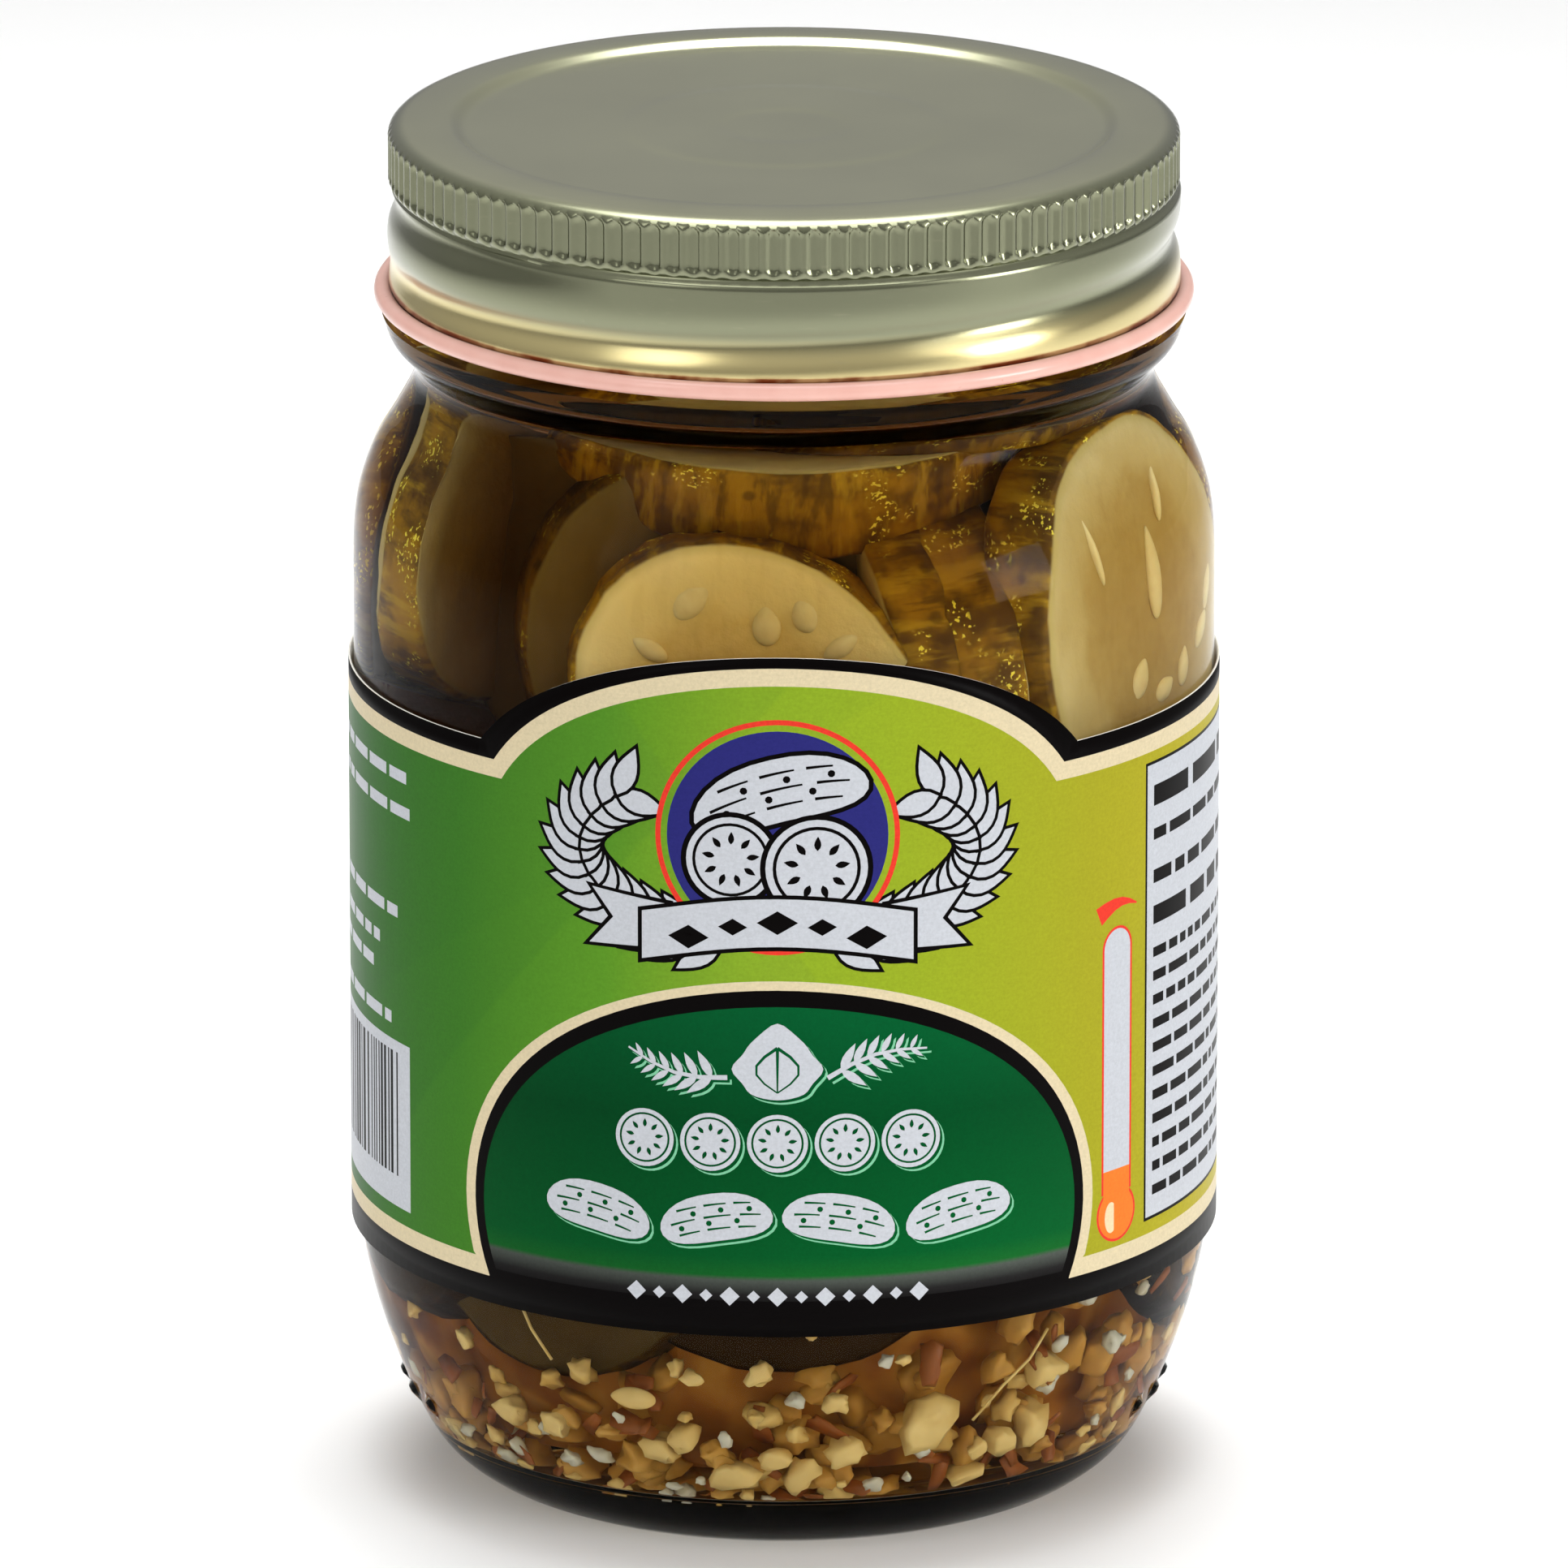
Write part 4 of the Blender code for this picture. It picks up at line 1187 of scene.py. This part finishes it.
bits = {
    "seed": 5,
    "top": 19.5,  # mm, at the middle; the layer rises to the right
    "slope": 0.14,
    "wallGap": 0.35 * mm,
    "shapes": 10,
    "garlic": {
        "count": 95, "size": (0.7, 2.0), "flat": (0.45, 0.9), "deep": (0.8, 2.6),
        "lumps": (  # angle, height and half size, mm, of the chunks that stand out in front
            (22.2, 13.6, 2.7), (42.8, 11.0, 2.5), (42.2, 17.0, 2.1), (-1.4, 10.6, 2.0), (9.8, 11.0, 1.9),
            (-46.9, 12.0, 1.8), (-37.7, 11.8, 1.7), (-15.8, 12.6, 2.0), (-8.2, 8.6, 2.0), (2.3, 8.4, 2.1),
            (-20.5, 10.8, 1.8), (36.4, 10.4, 1.8), (-3.3, 19.4, 1.3), (-53.3, 18.4, 1.3), (-13.4, 18.6, 1.1),
        ),
    },
    "deepGarlic": {"count": 240, "size": (1.3, 3.0), "flat": (0.5, 0.95), "deep": (1.6, 3.2)},
    "grit": {"count": 60, "size": (0.6, 1.3), "flat": (0.6, 0.9), "deep": (0.75, 1.8)},
    "chilli": {"count": 110, "size": (1.1, 2.8), "flat": (0.10, 0.16), "deep": (0.55, 1.6)},
    "loose": {"count": 14, "size": (0.8, 1.7), "flat": (0.6, 0.9), "deep": (0.9, 2.0), "aboveLayer": True},
    "floor": [(0, 7.5), (11, 7.2), (22, 6.4), (29, 5.2), (40, 5.2)],  # distance out and height, mm
    "core": [(0, 24), (28.5, 24), (29.0, 17), (27.4, 12), (25.2, 8.6), (0, 8.4)],
    "coreLumps": {"depth": 1.8 * mm, "fineness": 240},
    "mushTones": [
        (0.0, (0.16, 0.042, 0.006, 1)), (0.3, (0.28, 0.10, 0.012, 1)), (0.6, (0.42, 0.18, 0.028, 1)),
        (0.85, (0.54, 0.28, 0.055, 1)), (1.0, (0.66, 0.42, 0.12, 1)),
    ],
    "cucumberSeed": (-22.9, 16.1, 2.2, 1.1),  # angle, height, half length, half width
    "stalks": (  # angle and height along each
        ((40.7, 21.3), (38.0, 18.6), (34.0, 16.4), (29.7, 13.2)),
        ((-40.0, 23.6), (-38.6, 21.5), (-35.6, 18.8)),
    ),
    "stalkRadius": 0.17,  # mm
}


def layerTop(x):  # mm
    return bits["top"] + bits["slope"] * x


def takeShape(bm):  # lists of points and faces
    bm.verts.index_update()
    shape = [vert.co.copy() for vert in bm.verts], [[vert.index for vert in face.verts] for face in bm.faces]
    bm.free()
    return shape


def chunkShape(draw, jitter, soften):  # a rough block of about unit size
    bm = bmesh.new()
    for corner in range(8):
        way = Vector([(-0.72, 0.72)[corner >> axis & 1] for axis in range(3)])
        bm.verts.new(way + Vector([draw.uniform(-jitter, jitter) for _ in range(3)]))
    for _ in range(3):
        bm.verts.new(Vector([draw.gauss(0, 1) for _ in range(3)]).normalized() * draw.uniform(0.8, 1.05))
    hull = bmesh.ops.convex_hull(bm, input=bm.verts)
    spare = hull["geom_interior"] + hull["geom_unused"]
    spare = {item for item in spare if isinstance(item, bmesh.types.BMVert)}
    bmesh.ops.delete(bm, geom=list(spare), context="VERTS")
    bmesh.ops.triangulate(bm, faces=bm.faces)
    bmesh.ops.subdivide_edges(bm, edges=bm.edges, cuts=2, use_grid_fill=True)
    for _ in range(2):
        bmesh.ops.smooth_vert(
            bm, verts=bm.verts, factor=soften, use_axis_x=True, use_axis_y=True, use_axis_z=True)
    shift = Vector((draw.uniform(0, 40), 0, 0))
    for vert in bm.verts:
        rough = 0.5 * noise.noise(vert.co * 1.5 + shift) + 0.2 * noise.noise(vert.co * 4.5 + shift)
        vert.co *= 1.08 + rough
    bmesh.ops.triangulate(bm, faces=bm.faces)
    return takeShape(bm)


def flakeShape(draw):  # a thin curled scrap of chilli
    bm = bmesh.new()
    sides = 9
    long, bend = draw.uniform(0.5, 0.9), draw.uniform(-0.3, 0.3)
    rings = []
    for level in (0.5, -0.5):
        ring = []
        for index in range(sides):
            turn = 2 * pi * index / sides
            out = 0.72 + 0.28 * sin(turn * 2.3 + draw.uniform(0, 1.2))
            ring.append(bm.verts.new((out * cos(turn), out * long * sin(turn), level)))
        ring.append(bm.verts.new((0, 0, level * 1.3)))
        rings.append(ring)
    for index in range(sides):
        after = (index + 1) % sides
        bm.faces.new((rings[0][index], rings[0][after], rings[0][sides]))
        bm.faces.new((rings[1][after], rings[1][index], rings[1][sides]))
        bm.faces.new((rings[0][after], rings[0][index], rings[1][index], rings[1][after]))
    for vert in bm.verts:
        vert.co.z += 5 * bend * (vert.co.x**2 - 0.3)
    return takeShape(bm)


def bitPlace(draw, look, size):  # against the glass or on the floor, inside the jar
    angle = draw.uniform(-180, 180)
    high = layerTop(35 * sin(radians(angle)))
    deep = draw.uniform(*look["deep"]) * size
    if look.get("aboveLayer"):
        height = high + draw.uniform(-2, 7) * (0.6 + 0.6 * ease(0, 80, angle))
        return atAngle(angle, readRadius(innerWall, height * mm) - deep, height * mm)
    height = 5.6 + (high - 5.6) * draw.random() ** 1.35
    if draw.random() < 0.12:
        return atAngle(angle, 30 * mm * sqrt(draw.random()), 8.6 * mm)
    return atAngle(angle, readRadius(innerWall, height * mm) - deep, height * mm)


def floorUnder(out):  # the glass floor's height at a distance from the axis, with a little room
    for (near, high), (far, low) in zip(bits["floor"], bits["floor"][1:]):
        if out <= far * mm:
            return (high + (out / mm - near) / (far - near) * (low - high)) * mm
    return bits["floor"][-1][1] * mm


def facingOut(place):  # turns Z away from the jar's axis
    return Vector((place.x, place.y, 0)).to_track_quat("Z", "Y").to_matrix()


def addBit(bm, toneLayer, draw, shape, place, size, flat, lean=pi):  # lean from facing the glass, radians
    spin = facingOut(place) @ Matrix.Rotation(draw.uniform(-lean, lean), 3, "Y")
    spin = spin @ Matrix.Rotation(draw.uniform(-lean, lean), 3, "X")
    spin = spin @ Matrix.Rotation(draw.uniform(0, 2 * pi), 3, "Z")
    stretch = Vector((size, size * draw.uniform(0.65, 0.95), size * draw.uniform(*flat)))
    tone = draw.random()
    points, faces = shape
    made = []
    for point in points:
        spot = place + spin @ Vector((point.x * stretch.x, point.y * stretch.y, point.z * stretch.z))
        spot.z = max(spot.z, floorUnder(hypot(spot.x, spot.y)))
        vert = bm.verts.new(keepInJar(spot, bits["wallGap"]))
        vert[toneLayer] = tone
        made.append(vert)
    for face in faces:
        bm.faces.new([made[corner] for corner in face])


def buildBitKind(name, draw, shapes, look, material, lean=pi):
    bm = bmesh.new()
    toneLayer = bm.verts.layers.float.new("tone")
    for _ in range(look["count"]):
        size = draw.uniform(*look["size"]) * mm
        shape = draw.choice(shapes)
        addBit(bm, toneLayer, draw, shape, bitPlace(draw, look, size), size, look["flat"], lean)
    for angle, height, size in look.get("lumps", ()):
        place = atAngle(angle, readRadius(innerWall, height * mm) - size * 0.8 * mm, height * mm)
        addBit(bm, toneLayer, draw, draw.choice(shapes), place, size * mm, (0.8, 0.95))
    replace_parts(makePiece(name, bm, [material], sharp=180), "garlic_and_chilli")


def makeSoakedSpice():  # packed crumbs in browns, each crumb in a tone of its own
    material, tree = newMaterial("soakedSpice")
    place = put(tree, "TexCoord").outputs["Object"]
    wander = put(tree, "TexNoise", {"Vector": place, "Scale": 420.0}).outputs["Color"]
    bent = blend(tree, 0.0015, place, wander, "ADD")
    crumbs = put(tree, "TexVoronoi", {"Vector": bent, "Scale": 250.0, "Smoothness": 0.9}, feature="SMOOTH_F1")
    tone = put(tree, "SeparateColor", {0: crumbs.outputs["Color"]}).outputs[0]
    colour = ramp(tree, tone, bits["mushTones"])
    height = calc(tree, "SUBTRACT", 1.0, crumbs.outputs["Distance"])
    surface = put(tree, "BsdfPrincipled", {
        "Base Color": colour, "Roughness": 0.5, "Specular IOR Level": 0.3,
        "Normal": bump(tree, height, 0.8 * mm, 0.8),
    })
    finishMaterial(tree, surface.outputs[0])
    return material


def buildStalks(pale):  # a flat cucumber seed and two thin stalks against the glass
    bm = bmesh.new()
    angle, height, length, width = bits["cucumberSeed"]
    place = atAngle(angle, readRadius(innerWall, height * mm) - 1.0 * mm, height * mm)
    face = Matrix.Translation(place) @ facingOut(place).to_4x4()
    for vert in bmesh.ops.create_uvsphere(bm, u_segments=20, v_segments=11, radius=1.0)["verts"]:
        pinch = 1 - 0.3 * max(0, -vert.co.z) ** 2
        vert.co = face @ (Vector((vert.co.z * length, vert.co.x * width * pinch, vert.co.y * 0.5)) * mm)
    for stalk in bits["stalks"]:
        path = [atAngle(angle, readRadius(innerWall, height * mm) - 0.7 * mm, height * mm)
                for angle, height in stalk]
        rings = []
        for index, spot in enumerate(path):
            along = path[min(index + 1, len(path) - 1)] - path[max(index - 1, 0)]
            turn = along.to_track_quat("Z", "Y").to_matrix()
            ring = []
            for side in range(6):
                out = turn @ Vector((cos(pi * side / 3), sin(pi * side / 3), 0))
                ring.append(bm.verts.new(spot + out * bits["stalkRadius"] * mm))
            rings.append(ring)
        for lower, upper in zip(rings, rings[1:]):
            for index in range(6):
                after = (index + 1) % 6
                bm.faces.new((lower[index], lower[after], upper[after], upper[index]))
        bm.faces.new(rings[0][::-1])
        bm.faces.new(rings[-1])
    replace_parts(makePiece("seedAndStalks", bm, [pale], sharp=180), "garlic_and_chilli")


def coreShift(angle, radius, height):
    lumps = bits["coreLumps"]
    return lumps["depth"] * noise.noise(atAngle(angle, radius, height) * lumps["fineness"])


def buildSediment():
    draw = Random(bits["seed"])
    lumps = [chunkShape(draw, 0.36, 0.5) for _ in range(bits["shapes"])]
    grains = [chunkShape(draw, 0.42, 0.6) for _ in range(bits["shapes"])]
    flakes = [flakeShape(draw) for _ in range(bits["shapes"])]
    cream = makeSimple("mincedGarlic", (0.46, 0.27, 0.065, 1), (0.74, 0.55, 0.23, 1), 420, 0.5, "tone")
    amber = makeSimple("soakedGarlic", (0.34, 0.14, 0.020, 1), (0.70, 0.43, 0.11, 1), 300, 0.5, "tone")
    grey = makeSimple("paleGrit", (0.36, 0.32, 0.25, 1), (0.62, 0.58, 0.48, 1), 700, 0.4, "tone")
    red = makeSimple("chilliSkin", (0.13, 0.028, 0.005, 1), (0.36, 0.11, 0.018, 1), 500, 0.45, "tone")
    buildBitKind("garlicBits", draw, lumps, bits["garlic"], cream)
    buildBitKind("deepGarlic", draw, lumps, bits["deepGarlic"], amber)
    buildBitKind("paleGrits", draw, grains, bits["grit"], grey)
    buildBitKind("chilliFlakes", draw, flakes, bits["chilli"], red, 0.7)
    buildBitKind("looseBits", draw, lumps, bits["loose"], cream)
    buildStalks(cream)
    core = bmesh.new()
    lathe(core, smoothRun(inMetres(bits["core"]), 1.2 * mm, 20), roundAngles(120), coreShift)
    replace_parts(makePiece("sedimentCore", core, [makeSoakedSpice()]), "garlic_and_chilli")


buildCamera()
buildFloor()
buildLamps()
buildSky()
setLook()
print("studio ready")
buildGlass()
buildBrine()
print("glass and brine ready")
buildLid()
print("lid ready")
buildLabel()
buildPickles()
print("pickles ready")
buildSediment()
print("garlic and chilli ready")
